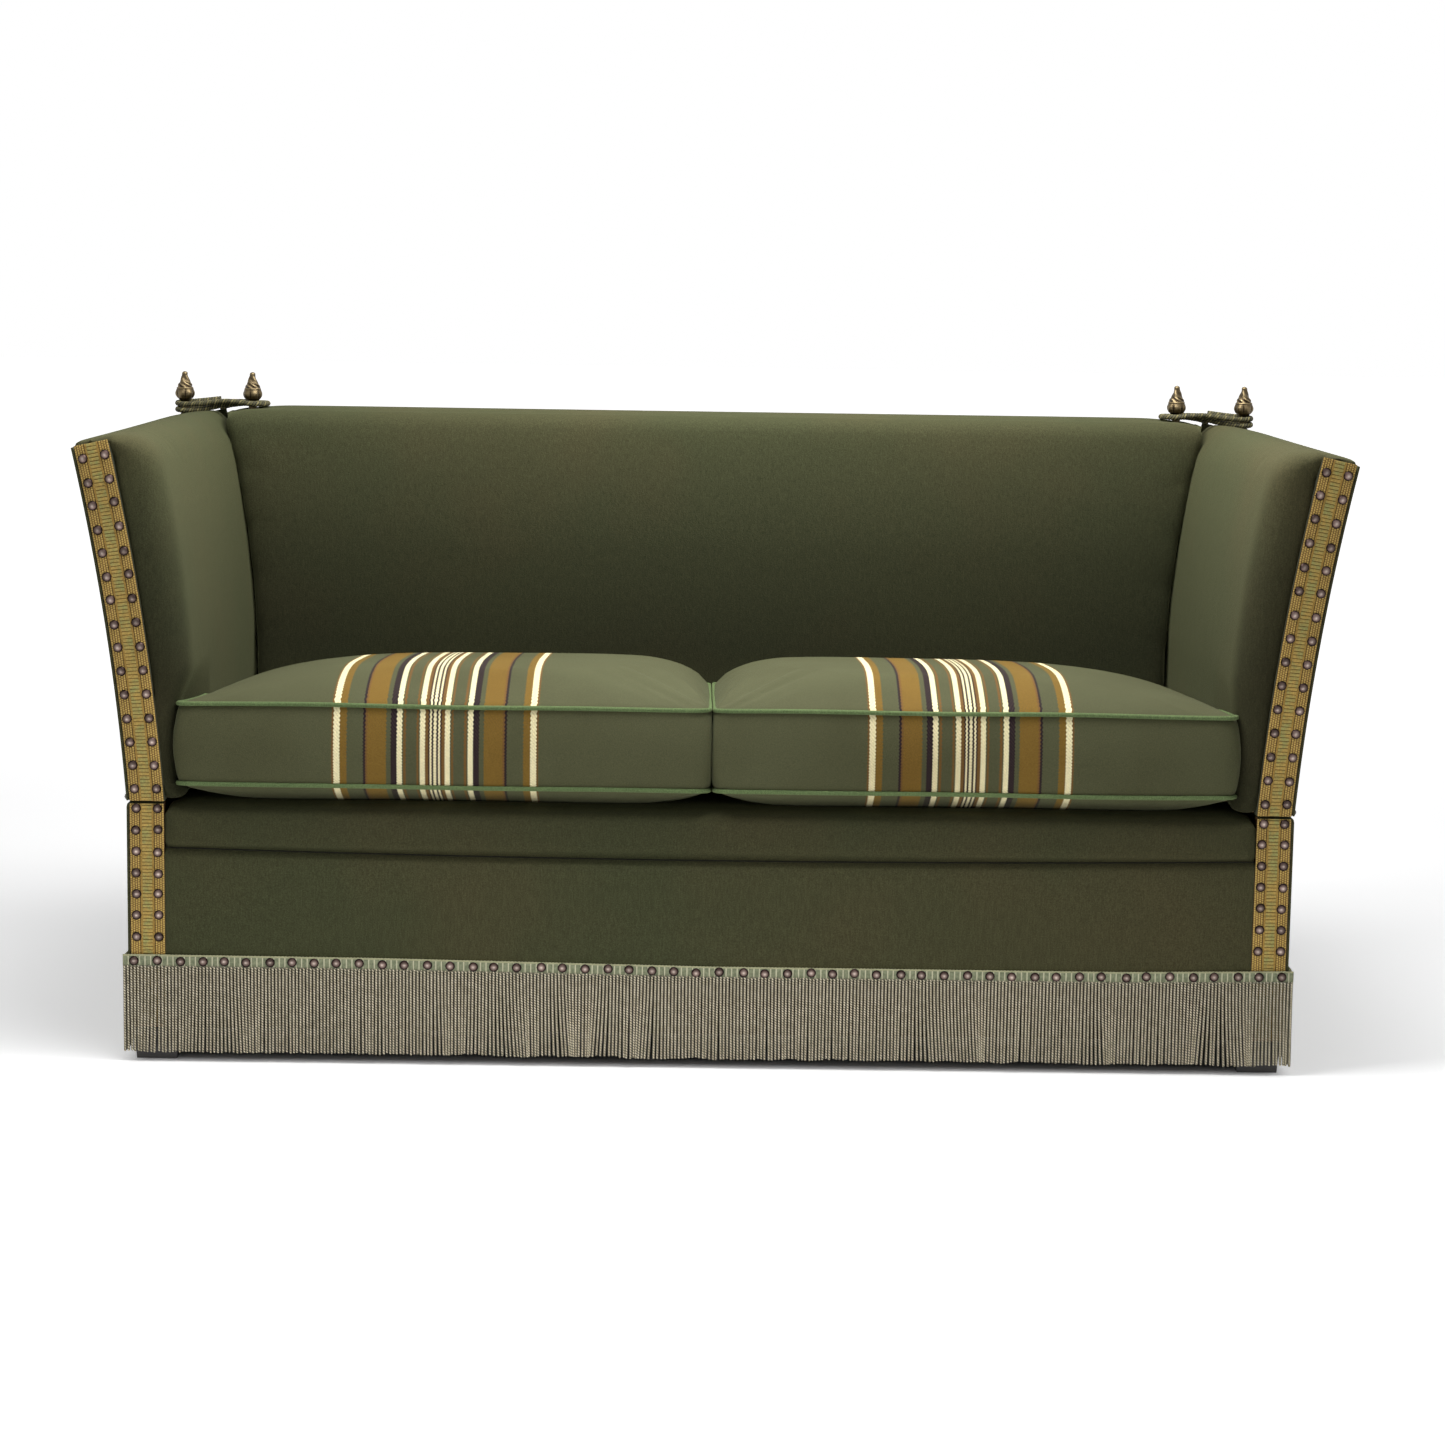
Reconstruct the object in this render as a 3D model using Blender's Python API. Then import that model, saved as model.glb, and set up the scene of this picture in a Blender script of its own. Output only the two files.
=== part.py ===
"""Two-seat sofa with drop arms, after the Knole pattern.

Metres, +Z up, X to the right, the front towards -Y. The origin is on the floor, under the middle
of the sofa. A beech box base stands on four block feet and carries the upholstered back. Each arm
is a frame of its own, hinged along the top of the base's side, and leans outwards. A rope wound
round a finial on the back and a finial on the arm holds the arm up. Two loose box cushions lie on
the sprung seat.
"""
import math

import bmesh
import bpy
from mathutils import Matrix, Vector

# Clearances
FIT = 0.0003                # gap kept by pieces that touch
CUT = 0.020                 # how far a cutter runs past the wall
PLAY = 0.0015               # gap between the arms, the back and the cushions

# Base
BASE_WIDTH = 1.563          # over the side covers
BASE_DEPTH = 0.770          # over the front border and the outside back
BASE_TOP = 0.3505           # top of the side covers, where the arms split off
FOOT_HEIGHT = 0.045
FOOT_WIDTH = 0.060
FOOT_TAPER = 0.003
FOOT_INSET = 0.003
COVER = 0.004               # cloth with its wadding, as one panel
SIDE_TOP_COVER = 0.003
COVER_HEM = 0.005           # how far above the rails' underside the covers end
POST = 0.042
RAIL = 0.028
FRONT_RAIL_TOP = 0.2625
BEAM_WIDTH = 0.040
BEAM_HEIGHT = 0.060
BEAM_LIFT = 0.015
BLOCK_LEG = 0.080
DUST_COVER = 0.001
DUST_COVER_INSET = 0.018
DUST_COVER_NOTCH = 0.002

# Seat
LEDGE = 0.022               # ledge on the back rail that takes the webbing's rear ends
SEAT_STRAPS = 7
SEAT_CROSS_STRAPS = 3
STRAP = 0.0024
STRAP_WIDTH = 0.050
STRAP_WEAVE = 0.0004        # how far a cross strap lies inside the straps it is woven through
STRAP_TACK = 0.010          # from the front rail's face to the straps' front ends
DECK_FRONT = 0.3490         # deck height at the crest of the front roll
DECK_CREST = 0.045          # how far behind the front plane the crest lies
DECK_SLOPE = 4.0            # degrees, down towards the back
SEAM_HEIGHT = 0.2880
ROLL_BULGE = 0.0055
ROLL_POINTS = 7
ROLL_POWER = 6              # a greater power makes the roll squarer
BRAID_WIDTH = 0.046
BRAID = 0.003
BRAID_MARGIN = 0.005        # strip of cover that shows outside the braid

# Nails
NAIL_RADIUS = 0.0068
NAIL_HEIGHT = 0.0028
NAIL_PITCH = 0.030
NAIL_EDGE = 0.0085          # from a braid's edge to the nails' centres
NAIL_SIDES = 6
NAIL_SUNK = 0.0005          # how far a head is pressed into the braid
ARM_NAIL_START = 0.016      # from the split up to the first row
BASE_NAIL_DROP = 0.010      # from the split down to the first row

# Fringe
FRINGE_TOP = 0.1455
HEADING_HEIGHT = 0.016
HEADING = 0.003
SKIRT_BOTTOM = 0.012
SKIRT_VALLEY = 0.0022
SKIRT_CREST = 0.0062
SKIRT_PITCH = 0.024
HEADING_TURN = 0.0003       # how far the skirt stays inside the heading's ends and back

# Arm, measured along its outer face from the split up (rise) and inwards from it (thickness)
ARM_SPLIT = 0.0033          # gap between base and arm that holds both hinge leaves
ARM_RISE = 0.479
ARM_LEAN_FOOT = 4.2         # degrees
ARM_LEAN_TOP = 12.4
ARM_THICKNESS = 0.107
ARM_TUCK_SHARE = 0.21       # how much thinner the pad is at its foot
ARM_TUCK_POWER = 2.6
ARM_FRAME = 0.047
ARM_POST_DEPTH = 0.040
ARM_RAIL_HEIGHT = 0.050
ARM_TOP_PAD = 0.008
ARM_STRAPS = 3
ARM_STRAP_INSET = 0.017     # from the ends of the arm's frame to the straps' ends
ARM_FRONT_ROUND = 0.030
ARM_REAR_ROUND = 0.008
ARM_REAR_STEPS = 2
ARM_CREST_ROUND = 0.040
ARM_FLAT_FACE = 0.004       # how far the rear panel stays inside the pad's face
ARM_FACETS = 8              # flat stretches that the arm's curve is drawn with
ARM_SAMPLES = 60            # places at which the arm's inner face is looked up
ROUND_STEPS = 4

# Back
BACK_TOP_PAD = 0.0192       # padding over the back's top rail
BACK_FOOT = 0.314
BACK_THICK_FOOT = 0.1715    # from the outside back to the front face
BACK_THICK_TOP = 0.1220
BACK_FOOT_ROUND = 0.010
BACK_CREST_ROUND = 0.024
BACK_REAR_ROUND = 0.012
BACK_CROWN = 0.006
BACK_LEVELS = 7
BACK_END_ROUND = 0.010
BACK_STATION_SHARES = (0.85, 0.55, 0.2)
BACK_POST_WIDTH = 0.042
BACK_POST_DEPTH = 0.036
BACK_POST_FOOT_IN = 0.1415  # from the base's side in to the post's middle, at its foot
BACK_RAIL_HEIGHT = 0.045
BACK_STAY_RAIL_Z = 0.400
BACK_STAY_RAIL_HEIGHT = 0.060
STAY_WIDTH = 0.050
BACK_STRAPS = 7
BACK_CROSS_STRAP_SHARES = (1 / 3, 2 / 3)
STRAP_OVERLAP = 0.030

# Finials and ropes
FINIAL_HEIGHT = 0.0712
FINIAL_BODY = 0.014         # greatest radius
FINIAL_FOOT = 0.010
FINIAL_FOOT_HEIGHT = 0.004
FINIAL_NECK = 0.0065
FINIAL_NECK_TOP = 0.0337
FINIAL_SIDES = 12
FINIAL_INSET = 0.030        # from the outside back to the finials' axes
FINIAL_SPAN = 0.104         # between the axes of an arm's finial and the back's
ARM_FINIAL_IN = 0.0336      # from the arm's outer face in to the arm finial's axis
POCKET_PLAY = 0.0005
# Height above the neck as a share of the body's height, and radius as a share of the greatest
FINIAL_PROFILE_SHARES = ((0.10, 0.86), (0.24, 1.0), (0.40, 0.90), (0.56, 0.60), (0.66, 0.44),
                         (0.74, 0.50), (0.84, 0.34), (0.95, 0.17))
ROPE = 0.0085
ROPE_PITCH = 0.0095
ROPE_PLAY = 0.0005
ROPE_TURNS = 2
ROPE_BEND_POINTS = 8
ROPE_SPAN_POINTS = 4
ROPE_LIFT = 0.001           # from the top of the back to the rope
ROPE_ARM_RISE = 0.0107      # from the finial's seat to the rope's middle, at the arm
ROPE_DIP_SHARE = 0.3        # part of the span that stays level, over the end of the back

# Hinges
LEAF = 0.0012
LEAF_LENGTH = 0.035
KNUCKLES = 9
KNUCKLE_RADIUS = 0.0045
KNUCKLE_BORE = 0.0026
KNUCKLE_SIDES = 8
PIN_RADIUS = 0.0022
TONGUE_REACH = 0.003        # from the axis to the end of a leaf's tongue
HINGE_PLAY = 0.0005         # from the side cover to the knuckles

# Loose cushions, in a frame that leans back with the deck
CUSHION_REAR_GAP = 0.0025   # from the back's foot to a cushion's rear edge
CUSHION_LOW_WELT = 0.025
CUSHION_HIGH_WELT = 0.133
CUSHION_CROWN = 0.030
CUSHION_CORNER = 0.045
CUSHION_DRAW = 0.007        # how far the sides pull in between the corners
CUSHION_PINCH = 0.007       # how far the border bulges past the seams
CUSHION_CELLS = (10, 8)
CUSHION_FRONT = 0.004       # how far the border stands before the front plane
CROWN_POWER = 3             # how late the crown falls towards the seams
CROWN_SHARE = 0.7           # below one, the crown is fuller
BORDER_LEVELS = 5
PIPING = 0.007

# Places that follow from the sizes above
SIDE = BASE_WIDTH / 2
FRONT = BASE_DEPTH / 2
FRAME_SIDE = SIDE - COVER - FIT
FRAME_FRONT = FRONT - COVER - FIT
POST_TOP = BASE_TOP - SIDE_TOP_COVER - FIT
POST_INNER = FRAME_SIDE - POST
PANEL_SIDE = SIDE - BRAID_MARGIN - BRAID_WIDTH - FIT
ARM_FOOT = BASE_TOP + ARM_SPLIT
ARM_START = math.radians(ARM_LEAN_FOOT)
ARM_RADIUS = ARM_RISE / math.radians(ARM_LEAN_TOP - ARM_LEAN_FOOT)
PAD_START = COVER + FIT + ARM_FRAME + FIT + STRAP + FIT
HINGE_X = SIDE + KNUCKLE_RADIUS + HINGE_PLAY
HINGE_Z = BASE_TOP + ARM_SPLIT / 2
HINGE_LENGTH = 2 * (FRAME_FRONT - ARM_POST_DEPTH - 2 * FIT)
FINIAL_Y = FRONT - FINIAL_INSET
WOOD_LEAN = ARM_START + (ARM_RISE - ARM_TOP_PAD) / ARM_RADIUS
ARM_FINIAL_X = (SIDE + ARM_RADIUS * (math.cos(ARM_START) - math.cos(WOOD_LEAN))
                - ARM_FINIAL_IN * math.cos(WOOD_LEAN))
BACK_FINIAL_X = ARM_FINIAL_X - FINIAL_SPAN
# The finials stand level, on the highest wood under an arm finial's foot.
FINIAL_SEAT = (ARM_FOOT + ARM_RADIUS * (math.sin(WOOD_LEAN) - math.sin(ARM_START))
               + (ARM_FINIAL_IN + FINIAL_FOOT) * math.sin(WOOD_LEAN))
BACK_TOP = FINIAL_SEAT + BACK_TOP_PAD
ROPE_BACK_Z = BACK_TOP + ROPE / 2 + ROPE_LIFT
ROPE_ARM_Z = FINIAL_SEAT + ROPE_ARM_RISE
BACK_POST_FOOT_X = SIDE - BACK_POST_FOOT_IN
BACK_FACE_FOOT = FRONT - BACK_THICK_FOOT
BACK_FACE_TOP = FRONT - BACK_THICK_TOP
CUSHION_DEPTH = FRONT + CUSHION_FRONT + BACK_FACE_FOOT - CUSHION_REAR_GAP
DECK_TAN = math.tan(math.radians(DECK_SLOPE))


def clear_scene():
    for thing in list(bpy.data.objects):
        bpy.data.objects.remove(thing, do_unlink=True)


def material(name, colour, roughness, metallic=0.0):
    made = bpy.data.materials.new(name)
    made.use_nodes = True
    shader = made.node_tree.nodes["Principled BSDF"]
    shader.inputs["Base Color"].default_value = (*colour, 1.0)
    shader.inputs["Roughness"].default_value = roughness
    shader.inputs["Metallic"].default_value = metallic
    return made


BEECH = ((0.46, 0.30, 0.16), 0.6)
WOOL = ((0.045, 0.052, 0.022), 0.95)
CUSHION_CLOTH = ((0.075, 0.095, 0.045), 0.9)
BRAID_YARN = ((0.36, 0.27, 0.08), 0.85)
FRINGE_YARN = ((0.42, 0.37, 0.22), 0.9)
JUTE = ((0.38, 0.28, 0.15), 0.95)
BLACK = ((0.012, 0.011, 0.010), 0.7)
OLD_BRASS = ((0.30, 0.22, 0.10), 0.4, 1.0)
STEEL = ((0.40, 0.40, 0.40), 0.45, 1.0)
ROPE_YARN = ((0.14, 0.16, 0.05), 0.8)


def empty_at(name, place, lean=0.0):
    """A parent on a joint's axis, or at the foot of a cushion that leans back."""
    made = bpy.data.objects.new(name, None)
    made.location = place
    made.rotation_euler = (-lean, 0, 0)
    bpy.context.collection.objects.link(made)
    return made


def finish(name, bm, look, parent=None, smooth_angle=None):
    """Turns a bmesh into a named object with its own material."""
    bmesh.ops.recalc_face_normals(bm, faces=bm.faces)
    caps = [face for face in bm.faces if len(face.verts) > 4]
    bmesh.ops.triangulate(bm, faces=caps, ngon_method="EAR_CLIP")
    mesh = bpy.data.meshes.new(name)
    bm.to_mesh(mesh)
    bm.free()
    if smooth_angle:
        mesh.shade_smooth()
        mesh.set_sharp_from_angle(angle=math.radians(smooth_angle))
    mesh.materials.append(material(name, *look))
    made = bpy.data.objects.new(name, mesh)
    made.parent = parent
    bpy.context.collection.objects.link(made)
    return made


def box(bm, low, high):
    """A block between two opposite corners, given in any order."""
    low, high = Vector(low), Vector(high)
    middle, size = (low + high) / 2, high - low
    scale = Matrix.Diagonal((abs(size.x), abs(size.y), abs(size.z), 1))
    bmesh.ops.create_cube(bm, size=1, matrix=Matrix.Translation(middle) @ scale)


def loft(bm, rings):
    """A closed skin over rings of as many points each, with a flat cap at both ends."""
    loops = [[bm.verts.new(point) for point in ring] for ring in rings]
    for one, two in zip(loops, loops[1:]):
        for i in range(len(one)):
            j = (i + 1) % len(one)
            bm.faces.new((one[i], one[j], two[j], two[i]))
    bm.faces.new(list(reversed(loops[0])))
    return bm.faces.new(loops[-1])


def prism(bm, outline, place, low, high):
    """An outline carried along the third direction; place(a, b, c) gives a point of it."""
    loft(bm, [[place(a, b, c) for a, b in outline] for c in (low, high)])


def tube(name, points, radius, look):
    """One round cord along a list of points."""
    curve = bpy.data.curves.new(name, "CURVE")
    curve.dimensions = "3D"
    curve.bevel_depth = radius
    curve.bevel_resolution = 1
    curve.use_fill_caps = True
    spline = curve.splines.new("POLY")
    spline.points.add(len(points) - 1)
    for place, point in zip(spline.points, points):
        place.co = (*point, 1)
    curve.materials.append(material(name, *look))
    made = bpy.data.objects.new(name, curve)
    bpy.context.collection.objects.link(made)
    return made


def cutter(name, bm, parent=None):
    """A guide for a Boolean, kept out of the model."""
    made = finish(name, bm, BLACK, parent)
    made.hide_render = True
    made.display_type = "WIRE"
    return made


def boolean(target, operand, operation):
    step = target.modifiers.new(operand.name, "BOOLEAN")
    step.operation = operation
    step.solver = "EXACT"
    step.object = operand


def cylinder(bm, place, radius, depth, sides, axis="Z"):
    turns = {"Z": Matrix.Identity(4), "Y": Matrix.Rotation(math.radians(90), 4, "X")}
    bmesh.ops.create_cone(bm, cap_ends=True, segments=sides, radius1=radius, radius2=radius,
                          depth=depth, matrix=Matrix.Translation(place) @ turns[axis])


def nail(bm, place, outward):
    """A domed head, pressed a little into the braid."""
    turn = Vector((0, 0, 1)).rotation_difference(Vector(outward)).to_matrix().to_4x4()
    middle = Vector(place) + Vector(outward) * (NAIL_HEIGHT / 2 - NAIL_SUNK)
    bmesh.ops.create_cone(bm, cap_ends=True, segments=NAIL_SIDES, radius1=NAIL_RADIUS,
                          radius2=0, depth=NAIL_HEIGHT, matrix=Matrix.Translation(middle) @ turn)


def spread(count, low, high):
    """Evenly spaced places from low to high, both included."""
    return [low + (high - low) * i / (count - 1) for i in range(count)]


def pitched(length, pitch):
    """Places along a run, symmetric about its middle, as near to the pitch as fits."""
    count = max(2, round(length / pitch))
    return [length * ((i + 0.5) / count - 0.5) for i in range(count)]


def arm_thickness(rise):
    """Distance between the arm's two faces, a little less near its foot."""
    return ARM_THICKNESS * (1 - ARM_TUCK_SHARE * (1 - rise / ARM_RISE) ** ARM_TUCK_POWER)


def arm_point(rise, inward):
    """X and Z of a point of the right arm: up its curved outer face, then square to the face.

    The foot is cut level and the top square to the face, so the skew fades out with the rise.
    """
    up = rise - inward * math.tan(ARM_START) * (1 - rise / ARM_RISE)
    angle = ARM_START + up / ARM_RADIUS
    x = SIDE + ARM_RADIUS * (math.cos(ARM_START) - math.cos(angle)) - inward * math.cos(angle)
    z = ARM_FOOT + ARM_RADIUS * (math.sin(angle) - math.sin(ARM_START)) + inward * math.sin(angle)
    return x, z


def arm_inner_face():
    """Places up the arm's inner face, as X and Z."""
    rises = spread(ARM_SAMPLES, 0, ARM_RISE)
    return [arm_point(rise, arm_thickness(rise)) for rise in rises]


def arm_inner_x(z):
    """Where the arm's inner face stands at a height."""
    faces = arm_inner_face()
    for (x0, z0), (x1, z1) in zip(faces, faces[1:]):
        if z <= z1:
            return x0 + (x1 - x0) * max(0, (z - z0) / (z1 - z0))
    return faces[-1][0]


def back_side_x(z):
    return arm_inner_x(z) - PLAY


def cushion_width():
    """Two cushions fill the seat where the arms stand closest, with play at each side of both."""
    return min(x for x, _ in arm_inner_face()) - PLAY


def deck_z(y):
    return DECK_FRONT - (y + FRONT - DECK_CREST) * DECK_TAN


def build_base_frame():
    """Two side frames, each a rail with a post at either end, joined by the other rails."""
    post_y = FRAME_FRONT - POST
    rail_x, rail_y = FRAME_SIDE - RAIL, FRAME_FRONT - RAIL
    block_top = FOOT_HEIGHT + BEAM_LIFT + BEAM_HEIGHT
    plan = [(FRAME_SIDE, -FRAME_FRONT), (FRAME_SIDE, FRAME_FRONT), (POST_INNER, FRAME_FRONT),
            (POST_INNER, post_y), (rail_x, post_y), (rail_x, -post_y), (POST_INNER, -post_y),
            (POST_INNER, -FRAME_FRONT)]
    # A block is glued into each corner, behind the front and back rails.
    corner = [(POST_INNER - BLOCK_LEG, rail_y - FIT), (POST_INNER + FIT, rail_y - FIT),
              (POST_INNER + FIT, post_y + FIT), (rail_x + FIT, post_y + FIT),
              (rail_x + FIT, post_y - BLOCK_LEG)]
    for side, sx in (("left", -1), ("right", 1)):
        bm = bmesh.new()
        prism(bm, plan, lambda a, b, c: (sx * a, b, c), FOOT_HEIGHT, POST_TOP)
        frame = finish(side + "_side_frame", bm, BEECH)
        bm = bmesh.new()
        for sy in (-1, 1):
            prism(bm, corner, lambda a, b, c: (sx * a, sy * b, c), FOOT_HEIGHT + BEAM_LIFT,
                  block_top)
        boolean(frame, cutter(side + "_corner_blocks", bm), "UNION")

    rail_side = POST_INNER - FIT
    bm = bmesh.new()
    box(bm, (-rail_side, -rail_y, FOOT_HEIGHT), (rail_side, -FRAME_FRONT, FRONT_RAIL_TOP))
    finish("front_rail", bm, BEECH)
    ledge = rail_y - LEDGE
    section = [(FRAME_FRONT, FOOT_HEIGHT), (FRAME_FRONT, BASE_TOP), (rail_y, BASE_TOP),
               (rail_y, FRONT_RAIL_TOP), (ledge, FRONT_RAIL_TOP), (ledge, FRONT_RAIL_TOP - RAIL),
               (rail_y, FRONT_RAIL_TOP - RAIL), (rail_y, FOOT_HEIGHT)]
    bm = bmesh.new()
    prism(bm, section, lambda a, b, c: (c, a, b), -rail_side, rail_side)
    finish("back_rail", bm, BEECH)

    bm = bmesh.new()
    box(bm, (-BEAM_WIDTH / 2, -rail_y + FIT, FOOT_HEIGHT + BEAM_LIFT),
        (BEAM_WIDTH / 2, rail_y - FIT, block_top))
    finish("centre_beam", bm, BEECH)


def build_feet():
    centre_x = SIDE - COVER - FOOT_INSET - FOOT_WIDTH / 2
    centre_y = FRONT - COVER - FOOT_INSET - FOOT_WIDTH / 2
    for side, sx in (("left", -1), ("right", 1)):
        for end, sy in (("front", -1), ("rear", 1)):
            bm = bmesh.new()
            rings = []
            for z, half in ((0, FOOT_WIDTH / 2 - FOOT_TAPER), (FOOT_HEIGHT - FIT, FOOT_WIDTH / 2)):
                rings.append([(sx * centre_x + a * half, sy * centre_y + b * half, z)
                              for a, b in ((-1, -1), (1, -1), (1, 1), (-1, 1))])
            loft(bm, rings)
            finish(f"{end}_{side}_foot", bm, BLACK)

    # The dust cover is tacked under the rails and cut out round the feet.
    x, y = SIDE - DUST_COVER_INSET, FRONT - DUST_COVER_INSET
    notch_x = centre_x - FOOT_WIDTH / 2 - DUST_COVER_NOTCH
    notch_y = centre_y - FOOT_WIDTH / 2 - DUST_COVER_NOTCH
    quarter = [(x, notch_y), (notch_x, notch_y), (notch_x, y)]
    outline = quarter + [(-a, b) for a, b in reversed(quarter)]
    outline += [(-a, -b) for a, b in quarter] + [(a, -b) for a, b in reversed(quarter)]
    bm = bmesh.new()
    prism(bm, outline, lambda a, b, c: (a, b, c), FOOT_HEIGHT - FIT - DUST_COVER,
          FOOT_HEIGHT - FIT)
    finish("dust_cover", bm, BLACK)


def straps(name, place, uprights, crosses, parent=None):
    """Woven webbing: straps side by side, joined by cross straps that run through them.

    uprights and crosses are boxes as (low, high) corners; place adds one box to a bmesh.
    """
    bm, across = bmesh.new(), bmesh.new()
    for low, high in uprights:
        place(bm, low, high)
    for low, high in crosses:
        place(across, low, high)
    web = finish(name, bm, JUTE, parent)
    boolean(web, cutter(name + "_cross_straps", across, parent), "UNION")


def build_seat_webbing():
    low = FRONT_RAIL_TOP + FIT
    rear = FRAME_FRONT - RAIL - FIT
    half = STRAP_WIDTH / 2
    side = FRAME_SIDE - RAIL - FIT
    outer = POST_INNER - STRAP_WIDTH
    along = [((x - half, -FRAME_FRONT + STRAP_TACK, low), (x + half, rear, low + STRAP))
             for x in spread(SEAT_STRAPS, -outer, outer)]
    inset = FRONT / 2
    across = [((-side, y - half, low + STRAP_WEAVE), (side, y + half, low + STRAP - STRAP_WEAVE))
              for y in spread(SEAT_CROSS_STRAPS, -inset, inset)]
    straps("seat_webbing", box, along, across)


def build_seat():
    """The sprung deck with its front roll, and the tight border below the roll's seam."""
    crest = -FRONT + DECK_CREST
    top = deck_z(crest)
    bottom = FRONT_RAIL_TOP + 2 * FIT + STRAP
    rear = FRAME_FRONT - RAIL - FIT
    profile = [(rear, bottom), (-FRAME_FRONT, bottom), (-FRAME_FRONT, SEAM_HEIGHT),
               (-FRONT, SEAM_HEIGHT)]
    for i in range(1, ROLL_POINTS + 1):
        share = (1 - math.cos(math.pi * i / ROLL_POINTS)) / 2
        bulge = ROLL_BULGE * math.sin(math.pi * share)
        rise = (top - SEAM_HEIGHT) * math.sin(math.pi / 2 * share)
        profile.append((-FRONT - bulge + DECK_CREST * share ** ROLL_POWER, SEAM_HEIGHT + rise))
    profile.append((rear, deck_z(rear)))
    bm = bmesh.new()
    prism(bm, profile, lambda a, b, c: (c, a, b), -PANEL_SIDE, PANEL_SIDE)
    finish("seat_platform", bm, WOOL, smooth_angle=35)

    bm = bmesh.new()
    box(bm, (-PANEL_SIDE, -FRONT, FOOT_HEIGHT + COVER_HEM),
        (PANEL_SIDE, -FRONT + COVER, SEAM_HEIGHT - FIT))
    finish("front_border", bm, WOOL)


def build_base_covers():
    """Side covers that turn over the rails' tops, and the outside back in one panel."""
    hem = FOOT_HEIGHT + COVER_HEM
    section = [(SIDE, hem), (SIDE, BASE_TOP), (POST_INNER, BASE_TOP),
               (POST_INNER, BASE_TOP - SIDE_TOP_COVER), (SIDE - COVER, BASE_TOP - SIDE_TOP_COVER),
               (SIDE - COVER, hem)]
    for side, sx in (("left", -1), ("right", 1)):
        bm = bmesh.new()
        prism(bm, section, lambda a, b, c: (sx * a, c, b), -FRAME_FRONT - BRAID, FRAME_FRONT)
        finish(side + "_side_cover", bm, WOOL)

    levels = spread(BACK_LEVELS, ARM_FOOT, FINIAL_SEAT - FIT)
    half = [(SIDE, hem), (SIDE, BASE_TOP), (back_side_x(ARM_FOOT), BASE_TOP)]
    half += [(back_side_x(z), z) for z in levels]
    outline = half + [(-x, z) for x, z in reversed(half)]
    bm = bmesh.new()
    prism(bm, outline, lambda a, b, c: (a, c, b), FRONT - COVER, FRONT)
    finish("outside_back_cover", bm, WOOL)


def build_base_braids():
    outer = SIDE - BRAID_MARGIN
    face = -FRAME_FRONT - FIT - BRAID
    nail_top = BASE_TOP - BASE_NAIL_DROP
    rows = 1 + int((nail_top - FRINGE_TOP) / NAIL_PITCH)
    for side, sx in (("left", -1), ("right", 1)):
        bm = bmesh.new()
        box(bm, (sx * (outer - BRAID_WIDTH), face, FOOT_HEIGHT + COVER_HEM),
            (sx * outer, face + BRAID, POST_TOP))
        braid = finish(side + "_base_braid", bm, BRAID_YARN)
        bm = bmesh.new()
        for x in (outer - NAIL_EDGE, outer - BRAID_WIDTH + NAIL_EDGE):
            for i in range(rows):
                nail(bm, (sx * x, face, nail_top - i * NAIL_PITCH), (0, -1, 0))
        boolean(braid, cutter(side + "_base_nails", bm), "UNION")


def fringe(name, ends, place, outward, nails):
    """A nailed, woven heading with a skirt of hanging strands below it, drawn as ridges.

    place(along, out, up) turns the run's own directions into the sofa's.
    """
    low = FRINGE_TOP - HEADING_HEIGHT
    front = FIT + HEADING
    bm = bmesh.new()
    prism(bm, [(-ends, FIT), (ends, FIT), (ends, front), (-ends, front)], place, low, FRINGE_TOP)
    heading = finish(name, bm, FRINGE_YARN)

    count = round(2 * ends / SKIRT_PITCH)
    reach = ends - HEADING_TURN
    outline = [(reach, FIT + HEADING_TURN), (-reach, FIT + HEADING_TURN)]
    for i in range(count):
        start = -reach + 2 * reach * i / count
        outline += [(start, FIT + SKIRT_VALLEY), (start + reach / count, FIT + SKIRT_CREST)]
    outline.append((reach, FIT + SKIRT_VALLEY))
    bm = bmesh.new()
    prism(bm, outline, place, SKIRT_BOTTOM, low + HEADING)
    boolean(heading, cutter(name + "_skirt", bm), "UNION")
    if nails:
        bm = bmesh.new()
        for along in nails:
            nail(bm, place(along, front, FRINGE_TOP - HEADING_HEIGHT / 2), outward)
        boolean(heading, cutter(name + "_nails", bm), "UNION")


def build_fringe():
    """One run on each side of the base; the rear one is sewn on and has no nails."""
    ends = SIDE + FIT + SKIRT_CREST
    fringe("front_fringe", ends, lambda a, b, c: (a, -FRONT - b, c), (0, -1, 0),
           pitched(2 * ends, NAIL_PITCH))
    fringe("rear_fringe", ends, lambda a, b, c: (a, FRONT + b, c), (0, 1, 0), [])
    for side, sx in (("left", -1), ("right", 1)):
        fringe(side + "_fringe", FRONT, lambda a, b, c: (sx * (SIDE + b), a, c), (sx, 0, 0),
               pitched(2 * FRONT, NAIL_PITCH))


def post_x(z):
    """Middle of a back post, which leans with the arms."""
    share = (z - BASE_TOP) / (FINIAL_SEAT - BASE_TOP)
    return BACK_POST_FOOT_X + (BACK_FINIAL_X - BACK_POST_FOOT_X) * share


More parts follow.
